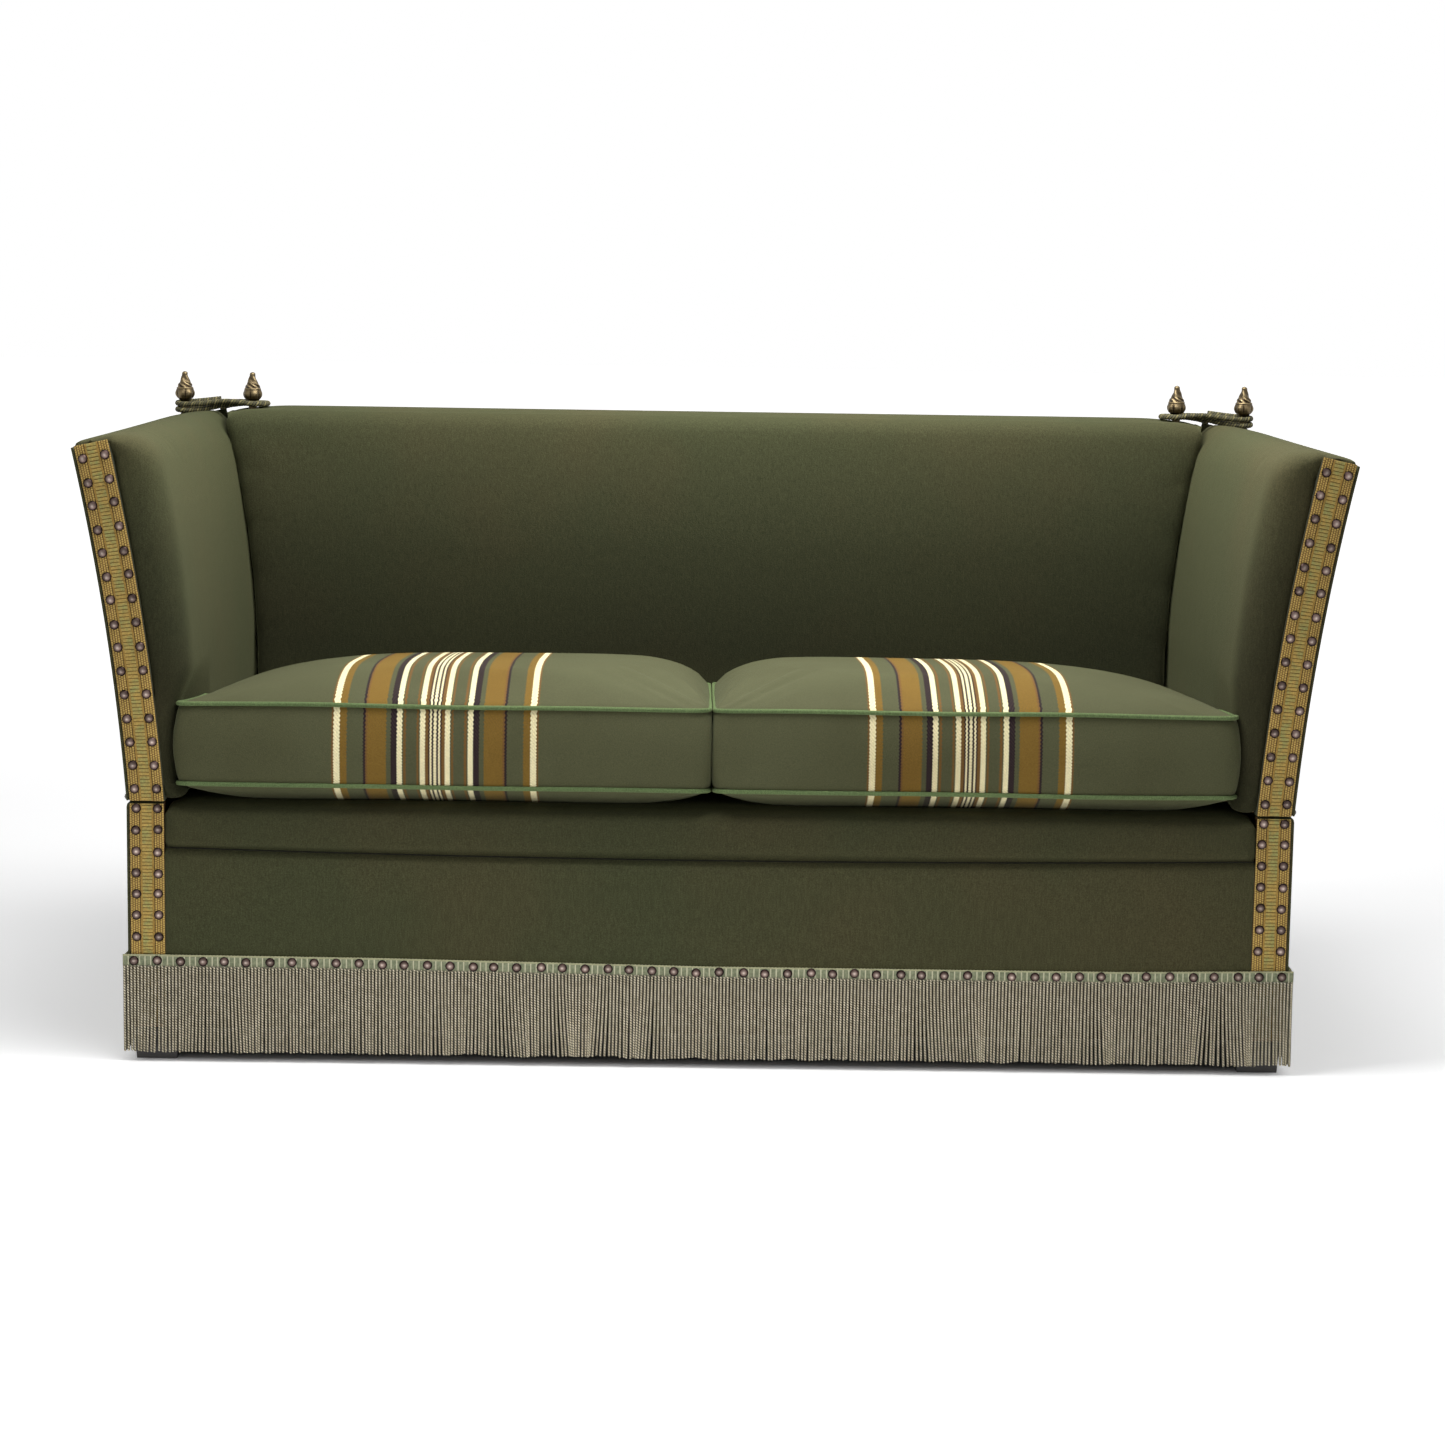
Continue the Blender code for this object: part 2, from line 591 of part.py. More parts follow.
def build_back_frame():
    rear, face = FRAME_FRONT, FRAME_FRONT - BACK_POST_DEPTH
    top = FINIAL_SEAT - FIT
    for name, sx in (("left_back_post", -1), ("right_back_post", 1)):
        bm = bmesh.new()
        rings = []
        for z in (BASE_TOP + FIT, top):
            x0, x1 = post_x(z) - BACK_POST_WIDTH / 2, post_x(z) + BACK_POST_WIDTH / 2
            rings.append([(sx * x0, face, z), (sx * x1, face, z), (sx * x1, rear, z),
                          (sx * x0, rear, z)])
        loft(bm, rings)
        finish(name, bm, BEECH)

    rails = (("back_top_rail", top - BACK_RAIL_HEIGHT, top),
             ("back_stay_rail", BACK_STAY_RAIL_Z, BACK_STAY_RAIL_Z + BACK_STAY_RAIL_HEIGHT))
    for name, low, high in rails:
        ends = [(post_x(z) - BACK_POST_WIDTH / 2 - FIT, z) for z in (low, high)]
        outline = ends + [(-x, z) for x, z in reversed(ends)]
        bm = bmesh.new()
        prism(bm, outline, lambda a, b, c: (a, c, b), face, rear)
        finish(name, bm, BEECH)

    bm = bmesh.new()
    box(bm, (-STAY_WIDTH / 2, face, BACK_STAY_RAIL_Z + BACK_STAY_RAIL_HEIGHT + FIT),
        (STAY_WIDTH / 2, rear, top - BACK_RAIL_HEIGHT - FIT))
    finish("back_centre_stay", bm, BEECH)

    # Upright straps are tacked to both rails, cross straps to both posts.
    half = STRAP_WIDTH / 2
    reach = post_x(BACK_STAY_RAIL_Z) - BACK_POST_WIDTH / 2 - STRAP_WIDTH
    low = BACK_STAY_RAIL_Z + BACK_STAY_RAIL_HEIGHT - STRAP_OVERLAP
    high = top - BACK_RAIL_HEIGHT + STRAP_OVERLAP
    y0, y1 = face - FIT - STRAP, face - FIT
    uprights = [((x - half, y0, low), (x + half, y1, high))
                for x in spread(BACK_STRAPS, -reach, reach)]
    crosses = [((-post_x(z), y0 + STRAP_WEAVE, z - half), (post_x(z), y1 - STRAP_WEAVE, z + half))
               for z in [low + (high - low) * share for share in BACK_CROSS_STRAP_SHARES]]
    straps("back_webbing", box, uprights, crosses)


def build_back_pad():
    """The inside back: a crowned, reclined face that rolls over the top rail.

    It is lofted upwards from level sections, then cut out behind for the frame and its webbing.
    """
    rear = FRAME_FRONT - BACK_POST_DEPTH - 2 * FIT - STRAP
    round_z = BACK_TOP - BACK_CREST_ROUND
    rear_round_z = BACK_TOP - BACK_REAR_ROUND
    foot_z = BACK_FOOT + BACK_FOOT_ROUND
    levels = [(BACK_FOOT, BACK_FACE_FOOT + BACK_FOOT_ROUND)]
    for z in spread(BACK_LEVELS, foot_z, round_z):
        share = (z - foot_z) / (round_z - foot_z)
        levels.append((z, BACK_FACE_FOOT + (BACK_FACE_TOP - BACK_FACE_FOOT) * share))
    for i in range(1, ROUND_STEPS + 1):
        angle = math.radians(90 * i / ROUND_STEPS)
        levels.append((round_z + BACK_CREST_ROUND * math.sin(angle),
                       BACK_FACE_TOP + BACK_CREST_ROUND * (1 - math.cos(angle))))

    rings = []
    for z, face in levels:
        up = max(0, z - rear_round_z) / BACK_REAR_ROUND
        back = FRONT - BACK_REAR_ROUND * (1 - math.sqrt(max(0, 1 - up * up)))
        swell = BACK_CROWN * math.sin(math.pi * min(1, (z - BACK_FOOT) / (round_z - BACK_FOOT)))
        end, x = BACK_END_ROUND, back_side_x(z)
        trim = end * (1 - math.sqrt(1 / 2))
        half = [(x, back), (x, face + end), (x - trim, face + trim), (x - end, face)]
        half += [(x * share, face - swell * (1 - share ** 4)) for share in BACK_STATION_SHARES]
        rings.append([(a, b, z) for a, b in half] + [(-a, b, z) for a, b in reversed(half)])
    bm = bmesh.new()
    loft(bm, rings)
    pad = finish("inside_back_pad", bm, WOOL, smooth_angle=50)
    bm = bmesh.new()
    box(bm, (-SIDE, rear, BACK_FOOT - CUT), (SIDE, FRONT + CUT, FINIAL_SEAT))
    boolean(pad, cutter("back_frame_space", bm), "DIFFERENCE")

    bm = bmesh.new()
    for sx in (-1, 1):
        finial_pocket(bm, (sx * BACK_FINIAL_X, FINIAL_Y, FINIAL_SEAT))
    boolean(pad, cutter("back_pockets", bm), "DIFFERENCE")


def finial_pocket(bm, seat):
    """A hole through the padding, down to the wood that the finial stands on."""
    radius = FINIAL_FOOT + POCKET_PLAY
    cylinder(bm, seat, radius, 2 * CUT, FINIAL_SIDES)


def finial(bm, place):
    """A turned, cast finial: foot, neck for the rope, and a body that tapers to its tip."""
    body = FINIAL_HEIGHT - FINIAL_NECK_TOP
    profile = [(FINIAL_FOOT, 0), (FINIAL_FOOT, FINIAL_FOOT_HEIGHT),
               (FINIAL_NECK, FINIAL_FOOT_HEIGHT + FINIAL_FOOT - FINIAL_NECK),
               (FINIAL_NECK, FINIAL_NECK_TOP)]
    profile += [(FINIAL_BODY * r, FINIAL_NECK_TOP + body * z) for z, r in FINIAL_PROFILE_SHARES]
    rings = []
    for radius, z in profile:
        rings.append([(place[0] + radius * math.cos(a), place[1] + radius * math.sin(a),
                       place[2] + z) for a in
                      [math.tau * i / FINIAL_SIDES for i in range(FINIAL_SIDES)]])
    end = loft(bm, rings)
    poked = bmesh.ops.poke(bm, faces=[end])
    poked["verts"][0].co.z = place[2] + FINIAL_HEIGHT


def build_back_finials():
    for side, sx in (("left", -1), ("right", 1)):
        bm = bmesh.new()
        finial(bm, (sx * BACK_FINIAL_X, FINIAL_Y, FINIAL_SEAT))
        finish(side + "_back_finial", bm, OLD_BRASS, smooth_angle=50)


def knuckle_spans(first):
    """Y spans of the knuckles that belong to one leaf: every second one, from the first."""
    step = HINGE_LENGTH / KNUCKLES
    return [(i * step - HINGE_LENGTH / 2 + FIT / 2, (i + 1) * step - HINGE_LENGTH / 2 - FIT / 2)
            for i in range(first, KNUCKLES, 2)]


def hinge_leaf(name, sx, axis_x, axis_z, low, first, parent=None):
    """A leaf of the long hinge: a plate whose tongues curl into knuckles, bored for the pin."""
    edge = axis_x - KNUCKLE_RADIUS - FIT
    start = edge - LEAF_LENGTH
    tip = axis_x - TONGUE_REACH
    spans = knuckle_spans(first)
    y0, y1 = (spans[0][0], spans[-1][1]) if not first else (-HINGE_LENGTH / 2, HINGE_LENGTH / 2)
    barrels = bmesh.new()
    comb = [(start, y1), (start, y0)] + ([(edge, y0)] if first else [])
    for i, (near, far) in enumerate(spans):
        tongue = [(edge, near), (tip, near), (tip, far), (edge, far)]
        if not first:
            tongue = tongue[1 if i == 0 else 0:3 if i == len(spans) - 1 else 4]
        comb += tongue
        cylinder(barrels, (sx * axis_x, (near + far) / 2, axis_z), KNUCKLE_RADIUS, far - near,
                 KNUCKLE_SIDES, "Y")
    comb += [(edge, y1)] if first else []
    bm = bmesh.new()
    prism(bm, comb, lambda a, b, c: (sx * a, b, c), low, low + LEAF)
    leaf = finish(name, bm, STEEL, parent)
    boolean(leaf, cutter(name + "_barrels", barrels, parent), "UNION")
    bm = bmesh.new()
    cylinder(bm, (sx * axis_x, 0, axis_z), KNUCKLE_BORE, HINGE_LENGTH + CUT, KNUCKLE_SIDES, "Y")
    boolean(leaf, cutter(name + "_bore", bm, parent), "DIFFERENCE")


def build_base_hinges():
    for side, sx in (("left", -1), ("right", 1)):
        hinge_leaf(side + "_hinge_base_leaf", sx, HINGE_X, HINGE_Z, BASE_TOP + FIT, 0)
        bm = bmesh.new()
        cylinder(bm, (sx * HINGE_X, 0, HINGE_Z), PIN_RADIUS, HINGE_LENGTH, KNUCKLE_SIDES, "Y")
        finish(side + "_hinge_pin", bm, STEEL)


def arm_rises(low, high):
    """Rises at which the arm's curve bends, the same for all its pieces, from low to high."""
    bends = [ARM_RISE * i / ARM_FACETS for i in range(1, ARM_FACETS)]
    return [low] + [rise for rise in bends if low + FIT < rise < high - FIT] + [high]


def arm_sweep(bm, sx, section, low, high):
    """Carries a section of (inward, y) places up the arm's curve, in the hinge's own frame."""
    rings = []
    for rise in arm_rises(low, high):
        ring = []
        for inward, y in section:
            depth = inward(rise) if callable(inward) else inward
            x, z = arm_point(rise, depth)
            ring.append((sx * (x - HINGE_X), y, z - HINGE_Z))
        rings.append(ring)
    loft(bm, rings)


def plate_section(inner, outer, y0, y1):
    return [(inner, y0), (outer, y0), (outer, y1), (inner, y1)]


def arm_pad_profile(front_pull):
    """The padding from the side: up the inner face, round the crest, over the top rail."""
    def face(rise):
        return arm_thickness(rise) - front_pull

    crest = ARM_RISE - ARM_CREST_ROUND
    wood_top = ARM_RISE - ARM_TOP_PAD
    profile = [(rise, face(rise)) for rise in arm_rises(0, crest)]
    for i in range(1, ROUND_STEPS + 1):
        angle = math.radians(90 * i / ROUND_STEPS)
        profile.append((crest + ARM_CREST_ROUND * math.sin(angle),
                        face(crest) - ARM_CREST_ROUND * (1 - math.cos(angle))))
    profile += [(ARM_RISE, 0), (wood_top, 0)]
    return profile + [(rise, PAD_START) for rise in reversed(arm_rises(0, wood_top))]


def build_arm(side, sx):
    hinge = empty_at(side + "_arm_hinge", (sx * HINGE_X, 0, HINGE_Z))
    wood_in, wood_out = COVER + FIT, COVER + FIT + ARM_FRAME
    wood_top = ARM_RISE - ARM_TOP_PAD - FIT
    post_y = FRAME_FRONT - ARM_POST_DEPTH
    for name, y0, y1 in (("front", -FRAME_FRONT, -post_y), ("rear", post_y, FRAME_FRONT)):
        bm = bmesh.new()
        arm_sweep(bm, sx, plate_section(wood_in, wood_out, y0, y1), 0, wood_top)
        finish(f"{side}_arm_{name}_post", bm, BEECH, hinge)
    rail_y = post_y - FIT
    for name, low in (("top", wood_top - ARM_RAIL_HEIGHT), ("bottom", 0)):
        bm = bmesh.new()
        arm_sweep(bm, sx, plate_section(wood_in, wood_out, -rail_y, rail_y), low,
                  low + ARM_RAIL_HEIGHT)
        finish(f"{side}_arm_{name}_rail", bm, BEECH, hinge)

    # Upright straps on the frame's inner side, held together by one cross strap.
    half = STRAP_WIDTH / 2
    strap_y = post_y - STRAP_WIDTH
    strap_in = wood_out + FIT
    low, high = ARM_STRAP_INSET, wood_top - ARM_STRAP_INSET
    middle = (low + high) / 2
    uprights = [((strap_in, y - half, low), (strap_in + STRAP, y + half, high))
                for y in spread(ARM_STRAPS, -strap_y, strap_y)]
    cross = ((strap_in + STRAP_WEAVE, -post_y - half, middle - half),
             (strap_in + STRAP - STRAP_WEAVE, post_y + half, middle + half))

    def place(bm, near, far):
        arm_sweep(bm, sx, plate_section(near[0], far[0], near[1], far[1]), near[2], far[2])

    straps(side + "_arm_webbing", place, uprights, [cross], hinge)

    build_arm_pad(side, sx, hinge)

    # The outside cover turns round the rear edge and closes the end of the padding.
    def panel_reach(rise):
        return arm_thickness(rise) - ARM_REAR_ROUND - ARM_FLAT_FACE

    panel = FRONT - COVER
    section = [(0, -FRAME_FRONT - BRAID), (COVER, -FRAME_FRONT - BRAID), (COVER, panel),
               (panel_reach, panel), (panel_reach, FRONT), (0, FRONT)]
    bm = bmesh.new()
    arm_sweep(bm, sx, section, 0, wood_top)
    finish(side + "_arm_outside_cover", bm, WOOL, hinge, smooth_angle=30)

    bm = bmesh.new()
    face = -FRAME_FRONT - FIT
    section = plate_section(BRAID_MARGIN, BRAID_MARGIN + BRAID_WIDTH, face - BRAID, face)
    arm_sweep(bm, sx, section, 0, wood_top)
    braid = finish(side + "_arm_braid", bm, BRAID_YARN, hinge)
    bm = bmesh.new()
    for inward in (BRAID_MARGIN + NAIL_EDGE, BRAID_MARGIN + BRAID_WIDTH - NAIL_EDGE):
        for i in range(round((wood_top - ARM_NAIL_START) / NAIL_PITCH)):
            x, z = arm_point(ARM_NAIL_START + i * NAIL_PITCH, inward)
            nail(bm, (sx * (x - HINGE_X), face - BRAID, z - HINGE_Z), (0, -1, 0))
    boolean(braid, cutter(side + "_arm_nails", bm, hinge), "UNION")

    bm = bmesh.new()
    finial(bm, (sx * (ARM_FINIAL_X - HINGE_X), FINIAL_Y, FINIAL_SEAT - HINGE_Z))
    finish(side + "_arm_finial", bm, OLD_BRASS, hinge, smooth_angle=50)
    hinge_leaf(side + "_hinge_arm_leaf", sx, 0, 0, ARM_FOOT - FIT - LEAF - HINGE_Z, 1, hinge)


def build_arm_pad(side, sx, hinge):
    """Padding lofted from front to rear, with a rounded front edge and a pocket for the finial."""
    stations = []
    for i in range(ROUND_STEPS + 1):
        angle = math.radians(90 * i / ROUND_STEPS)
        stations.append((-FRONT + ARM_FRONT_ROUND * (1 - math.cos(angle)),
                         ARM_FRONT_ROUND * (1 - math.sin(angle))))
    stations.append((0, 0))
    rear = FRAME_FRONT
    for i in range(ARM_REAR_STEPS + 1):
        angle = math.radians(90 * i / ARM_REAR_STEPS)
        stations.append((rear - ARM_REAR_ROUND * (1 - math.sin(angle)),
                         ARM_REAR_ROUND * (1 - math.cos(angle))))
    rings = []
    for y, pull in stations:
        ring = []
        for rise, inward in arm_pad_profile(pull):
            x, z = arm_point(rise, inward)
            ring.append((sx * (x - HINGE_X), y, z - HINGE_Z))
        rings.append(ring)
    bm = bmesh.new()
    loft(bm, rings)
    pad = finish(side + "_arm_pad", bm, WOOL, hinge, smooth_angle=50)

    bm = bmesh.new()
    finial_pocket(bm, (sx * (ARM_FINIAL_X - HINGE_X), FINIAL_Y, FINIAL_SEAT - HINGE_Z))
    boolean(pad, cutter(side + "_arm_pocket", bm, hinge), "DIFFERENCE")


def rope_route(sx):
    """Turns round both finials' necks: stacked at the arm, lying side by side on the back.

    Each turn is a slot shape of two half circles and two straight spans, and starts in the middle
    of the rear span. From turn to turn the rope moves one pitch, upwards at the arm's finial and
    outwards at the back's.
    """
    core = FINIAL_NECK + ROPE / 2 + ROPE_PLAY
    span = ARM_FINIAL_X - BACK_FINIAL_X
    bend, run = ROPE_BEND_POINTS, ROPE_SPAN_POINTS
    per_turn = 2 * (bend + run)
    route = []
    for i in range(ROPE_TURNS * per_turn + 1):
        turn, step = i / per_turn, i % per_turn
        middle, angle = span / 2, None
        if step < run / 2:
            x, side = span * (0.5 - step / run), 1
        elif step < run / 2 + bend:
            middle, angle = 0, math.pi * ((step - run / 2) / bend + 0.5)
        elif step < 1.5 * run + bend:
            x, side = span * (step - run / 2 - bend) / run, -1
        elif step < 1.5 * run + 2 * bend:
            middle, angle = span, math.pi * ((step - 1.5 * run - bend) / bend - 0.5)
        else:
            x, side = span * (1 - (step - 1.5 * run - 2 * bend) / run), 1
        near_arm = (x if angle is None else middle) / span
        climb = math.pi / 2 * near_arm
        radius = core + ROPE_PITCH * turn * math.cos(climb)
        dip = max(0, near_arm - ROPE_DIP_SHARE) / (1 - ROPE_DIP_SHARE)
        z = ROPE_BACK_Z + (ROPE_ARM_Z - ROPE_BACK_Z) * dip * dip * (3 - 2 * dip)
        z += ROPE_PITCH * turn * math.sin(climb)
        if angle is None:
            y = side * radius
        else:
            x, y = middle + radius * math.cos(angle), radius * math.sin(angle)
        route.append((sx * (BACK_FINIAL_X + x), FINIAL_Y + y, z))
    return route


def rope_gap(route):
    """Least distance between the surfaces of two turns, measured on points."""
    least = math.inf
    apart = ROPE_BEND_POINTS + ROPE_SPAN_POINTS
    points = [Vector(p) for p in route]
    for i, one in enumerate(points):
        for j in range(i + apart, len(points) - 1):
            step = points[j + 1] - points[j]
            share = max(0, min(1, (one - points[j]).dot(step) / step.length_squared))
            least = min(least, (one - points[j] - step * share).length)
    return least - ROPE


def build_ropes():
    for name, sx in (("left_rope", -1), ("right_rope", 1)):
        route = rope_route(sx)
        tube(name, route, ROPE / 2, ROPE_YARN)
        print(name, "least gap between turns:", round(rope_gap(route) * 1000, 2), "mm")


def cushion_edge(a, b, inset=0.0):
    """A place on the plan's outline for a place (a, b) on the unit square's edge."""
    half_x, half_y = cushion_width() / 2 - inset, CUSHION_DEPTH / 2 - inset
    x, y = a * half_x, b * half_y
    core_x = max(-half_x + CUSHION_CORNER, min(half_x - CUSHION_CORNER, x))
    core_y = max(-half_y + CUSHION_CORNER, min(half_y - CUSHION_CORNER, y))
    away = Vector((x - core_x, y - core_y))
    if away.length > CUSHION_CORNER:
        away *= CUSHION_CORNER / away.length
    pull_x = CUSHION_DRAW * (1 - b * b) * (1 if abs(a) == 1 else 0)
    pull_y = CUSHION_DRAW * (1 - a * a) * (1 if abs(b) == 1 else 0)
    return (core_x + away.x - math.copysign(pull_x, a), core_y + away.y - math.copysign(pull_y, b))


def cushion_place(a, b, inset):
    """A place inside the outline: the edge's place, drawn in towards the middle."""
    reach = max(abs(a), abs(b))
    if not reach:
        return 0, 0
    x, y = cushion_edge(a / reach, b / reach, inset)
    return x * reach, y * reach


def crown(a, b):
    fall = (1 - abs(a) ** CROWN_POWER) * (1 - abs(b) ** CROWN_POWER)
    return fall ** CROWN_SHARE


def rim_indices(nx, ny):
    """Grid places round the edge, in order."""
    rim = [(i, 0) for i in range(nx)] + [(nx, j) for j in range(ny)]
    return rim + [(i, ny) for i in range(nx, 0, -1)] + [(0, j) for j in range(ny, 0, -1)]


def build_cushion(side, sx):
    """A box cushion: crowned top, piped seams, border that bulges, and a flat seat below."""
    nx, ny = CUSHION_CELLS
    front_y = -FRONT - CUSHION_FRONT
    seat = empty_at(side + "_cushion_seat", (sx * (cushion_width() / 2 + PLAY), front_y,
                                             deck_z(front_y) + FIT),
                    math.radians(DECK_SLOPE))
    middle_y = CUSHION_DEPTH / 2

    def at(a, b, z, inset):
        x, y = cushion_place(a, b, inset)
        return x, y + middle_y, z

    bead = PIPING / 2
    bead_inset = CUSHION_PINCH - bead
    low, high = CUSHION_LOW_WELT, CUSHION_HIGH_WELT
    bm = bmesh.new()
    tops, bottoms = {}, {}
    for i in range(nx + 1):
        for j in range(ny + 1):
            a, b = 2 * i / nx - 1, 2 * j / ny - 1
            rise = crown(a, b)
            fall = min(low - bead, CUSHION_CROWN * rise)
            tops[i, j] = bm.verts.new(at(a, b, high + bead + CUSHION_CROWN * rise, bead_inset))
            bottoms[i, j] = bm.verts.new(at(a, b, low - bead - fall, bead_inset))
    for i in range(nx):
        for j in range(ny):
            corners = [(i, j), (i + 1, j), (i + 1, j + 1), (i, j + 1)]
            bm.faces.new([tops[c] for c in corners])
            bm.faces.new([bottoms[c] for c in reversed(corners)])

    rim = rim_indices(nx, ny)
    border = [(low + bead + (high - low - PIPING) * share,
               CUSHION_PINCH * (1 - math.sin(math.pi * share)))
              for share in spread(BORDER_LEVELS, 0, 1)]
    levels = [(low, bead_inset - bead)] + border + [(high, bead_inset - bead)]
    loops = [[bottoms[c] for c in rim]]
    for z, inset in levels:
        loops.append([bm.verts.new(at(2 * i / nx - 1, 2 * j / ny - 1, z, inset))
                      for i, j in rim])
    loops.append([tops[c] for c in rim])
    for lower, upper in zip(loops, loops[1:]):
        for i in range(len(rim)):
            j = (i + 1) % len(rim)
            bm.faces.new((lower[i], lower[j], upper[j], upper[i]))
    finish(side + "_cushion", bm, CUSHION_CLOTH, seat, smooth_angle=60)


def build():
    clear_scene()
    build_base_frame()
    build_feet()
    build_seat_webbing()
    build_seat()
    build_base_covers()
    build_base_braids()
    build_fringe()
    build_back_frame()
    build_back_pad()
    build_back_finials()
    build_base_hinges()
    for side, sx in (("left", -1), ("right", 1)):
        build_arm(side, sx)
        build_cushion(side, sx)
    build_ropes()


build()
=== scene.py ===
# %% [markdown]
# # A two-seat sofa with drop arms
#
# This lesson dresses a sofa of the Knole pattern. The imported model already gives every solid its
# size and place: frame, padding, hinges, finials. What is missing is what the eye reads first:
# the felted wool, the striped cushions with their piping, the woven braid under rows of domed
# nails, the bullion fringe, the cast finials and the twisted rope.
#
# Each cell makes one of them. All lengths are metres, +Z is up and the front looks along -Y.

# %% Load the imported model
import math

import bpy
import numpy as np
from mathutils import Matrix, Vector


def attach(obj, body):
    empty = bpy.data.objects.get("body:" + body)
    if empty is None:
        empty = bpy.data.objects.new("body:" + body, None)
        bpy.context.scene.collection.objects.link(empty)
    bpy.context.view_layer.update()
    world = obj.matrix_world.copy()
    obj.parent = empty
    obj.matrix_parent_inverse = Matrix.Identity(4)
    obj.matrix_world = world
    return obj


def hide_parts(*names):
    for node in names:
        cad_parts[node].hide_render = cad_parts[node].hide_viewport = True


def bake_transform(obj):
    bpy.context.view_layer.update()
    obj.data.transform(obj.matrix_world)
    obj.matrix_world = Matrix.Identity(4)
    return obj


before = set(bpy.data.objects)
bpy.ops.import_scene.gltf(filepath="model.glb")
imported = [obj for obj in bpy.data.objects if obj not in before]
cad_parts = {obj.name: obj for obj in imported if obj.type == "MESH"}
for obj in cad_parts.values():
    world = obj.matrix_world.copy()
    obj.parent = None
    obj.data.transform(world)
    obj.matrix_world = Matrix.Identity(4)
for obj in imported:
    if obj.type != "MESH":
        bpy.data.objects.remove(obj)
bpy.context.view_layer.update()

# %% [markdown]
# ## The camera
#
# The photograph was taken with a long lens from a standing height, a little to the left of the
# middle, looking down by eight degrees, with the camera not quite level. A long lens keeps the
# uprights nearly parallel. The three turns are written out as directions, which become the
# camera's own axes.

# %% The camera
YAW, PITCH, ROLL = -0.0077, 0.1409, 0.0151
across = Vector((math.cos(YAW), math.sin(YAW), 0))
ahead = Vector((-math.sin(YAW) * math.cos(PITCH), math.cos(YAW) * math.cos(PITCH),
                -math.sin(PITCH)))
above = across.cross(ahead)
camera_right = across * math.cos(ROLL) + above * math.sin(ROLL)
camera_up = above * math.cos(ROLL) - across * math.sin(ROLL)

bpy.ops.object.camera_add()
camera = bpy.context.object
camera.name = "photo_camera"
camera.matrix_world = Matrix.Translation((-0.0193, -4.6096, 1.0697)) @ Matrix(
    (camera_right, camera_up, -ahead)).transposed().to_4x4()
camera.data.lens = 79.9
camera.data.sensor_width = 36
bpy.context.scene.camera = camera
bpy.context.scene.view_settings.view_transform = "Standard"
print("the camera stands", round(-camera.location.y - 0.385, 2), "m in front of the sofa")

# %% [markdown]
# ## Wiring a shader
#
# The backdrop, the floor and every finish are small networks of nodes. `Wiring` adds nodes and
# joins them in few words, and `Finish` is a material under construction. A colour is written as
# on a paint chart, six signs long, and a plain number is a grey of that lightness.

# %% Wiring a shader
def rgba(colour):
    """The four linear values that shaders use."""
    if isinstance(colour, str):
        parts = [int(colour[i:i + 2], 16) / 255 for i in (0, 2, 4)]
        colour = [c / 12.92 if c <= 0.04045 else ((c + 0.055) / 1.055) ** 2.4 for c in parts]
    elif isinstance(colour, (int, float)):
        colour = [colour] * 3
    return (*colour, 1)


class Wiring:
    """Short ways to add nodes to a network and to join them."""

    def __init__(self, tree):
        self.nodes, self.links = tree.nodes, tree.links

    def put(self, socket, value):
        if isinstance(value, bpy.types.NodeSocket):
            self.links.new(value, socket)
        else:
            socket.default_value = rgba(value) if socket.type == "RGBA" else value

    def node(self, kind, **inputs):
        made = self.nodes.new("ShaderNode" + kind)
        for key, value in inputs.items():
            self.put(made.inputs[key.replace("_", " ")], value)
        return made

    def math(self, operation, one, two=0.0, clamp=False):
        made = self.nodes.new("ShaderNodeMath")
        made.operation, made.use_clamp = operation, clamp
        self.put(made.inputs[0], one)
        self.put(made.inputs[1], two)
        return made.outputs[0]

    def wave(self, value, count, shift=0.0):
        """The sine's size: bumps that touch nought between them."""
        turned = self.math("ADD", self.math("MULTIPLY", value, count), shift)
        return self.math("ABSOLUTE", self.math("SINE", turned))

    def coordinate(self, scale=(1, 1, 1), turn=(0, 0, 0)):
        source = self.node("TexCoord").outputs["Object"]
        return self.node("Mapping", Vector=source, Scale=scale, Rotation=turn).outputs["Vector"]

    def split(self, place):
        return self.node("SeparateXYZ", Vector=place).outputs

    def uv(self):
        return list(self.split(self.node("TexCoord").outputs["UV"]))[:2]

    def noise(self, place, scale, detail=2.0, rough=0.5):
        return self.node("TexNoise", Vector=place, Scale=scale, Detail=detail,
                         Roughness=rough).outputs["Fac"]

    def ramp(self, value, *stops, constant=False):
        made = self.nodes.new("ShaderNodeValToRGB")
        band = made.color_ramp
        band.interpolation = "CONSTANT" if constant else "LINEAR"
        while len(band.elements) < len(stops):
            band.elements.new(0.5)
        for element, (place, colour) in zip(band.elements, stops):
            element.position = place
            element.color = rgba(colour)
        self.links.new(value, made.inputs["Fac"])
        return made.outputs["Color"]

    def mix(self, share, one, two, blend="MIX"):
        made = self.nodes.new("ShaderNodeMix")
        made.data_type, made.blend_type = "RGBA", blend
        for socket, value in zip((made.inputs[0], made.inputs[6], made.inputs[7]),
                                 (share, one, two)):
            self.put(socket, value)
        return made.outputs[2]

    def times(self, one, two):
        return self.mix(1.0, one, two, "MULTIPLY")


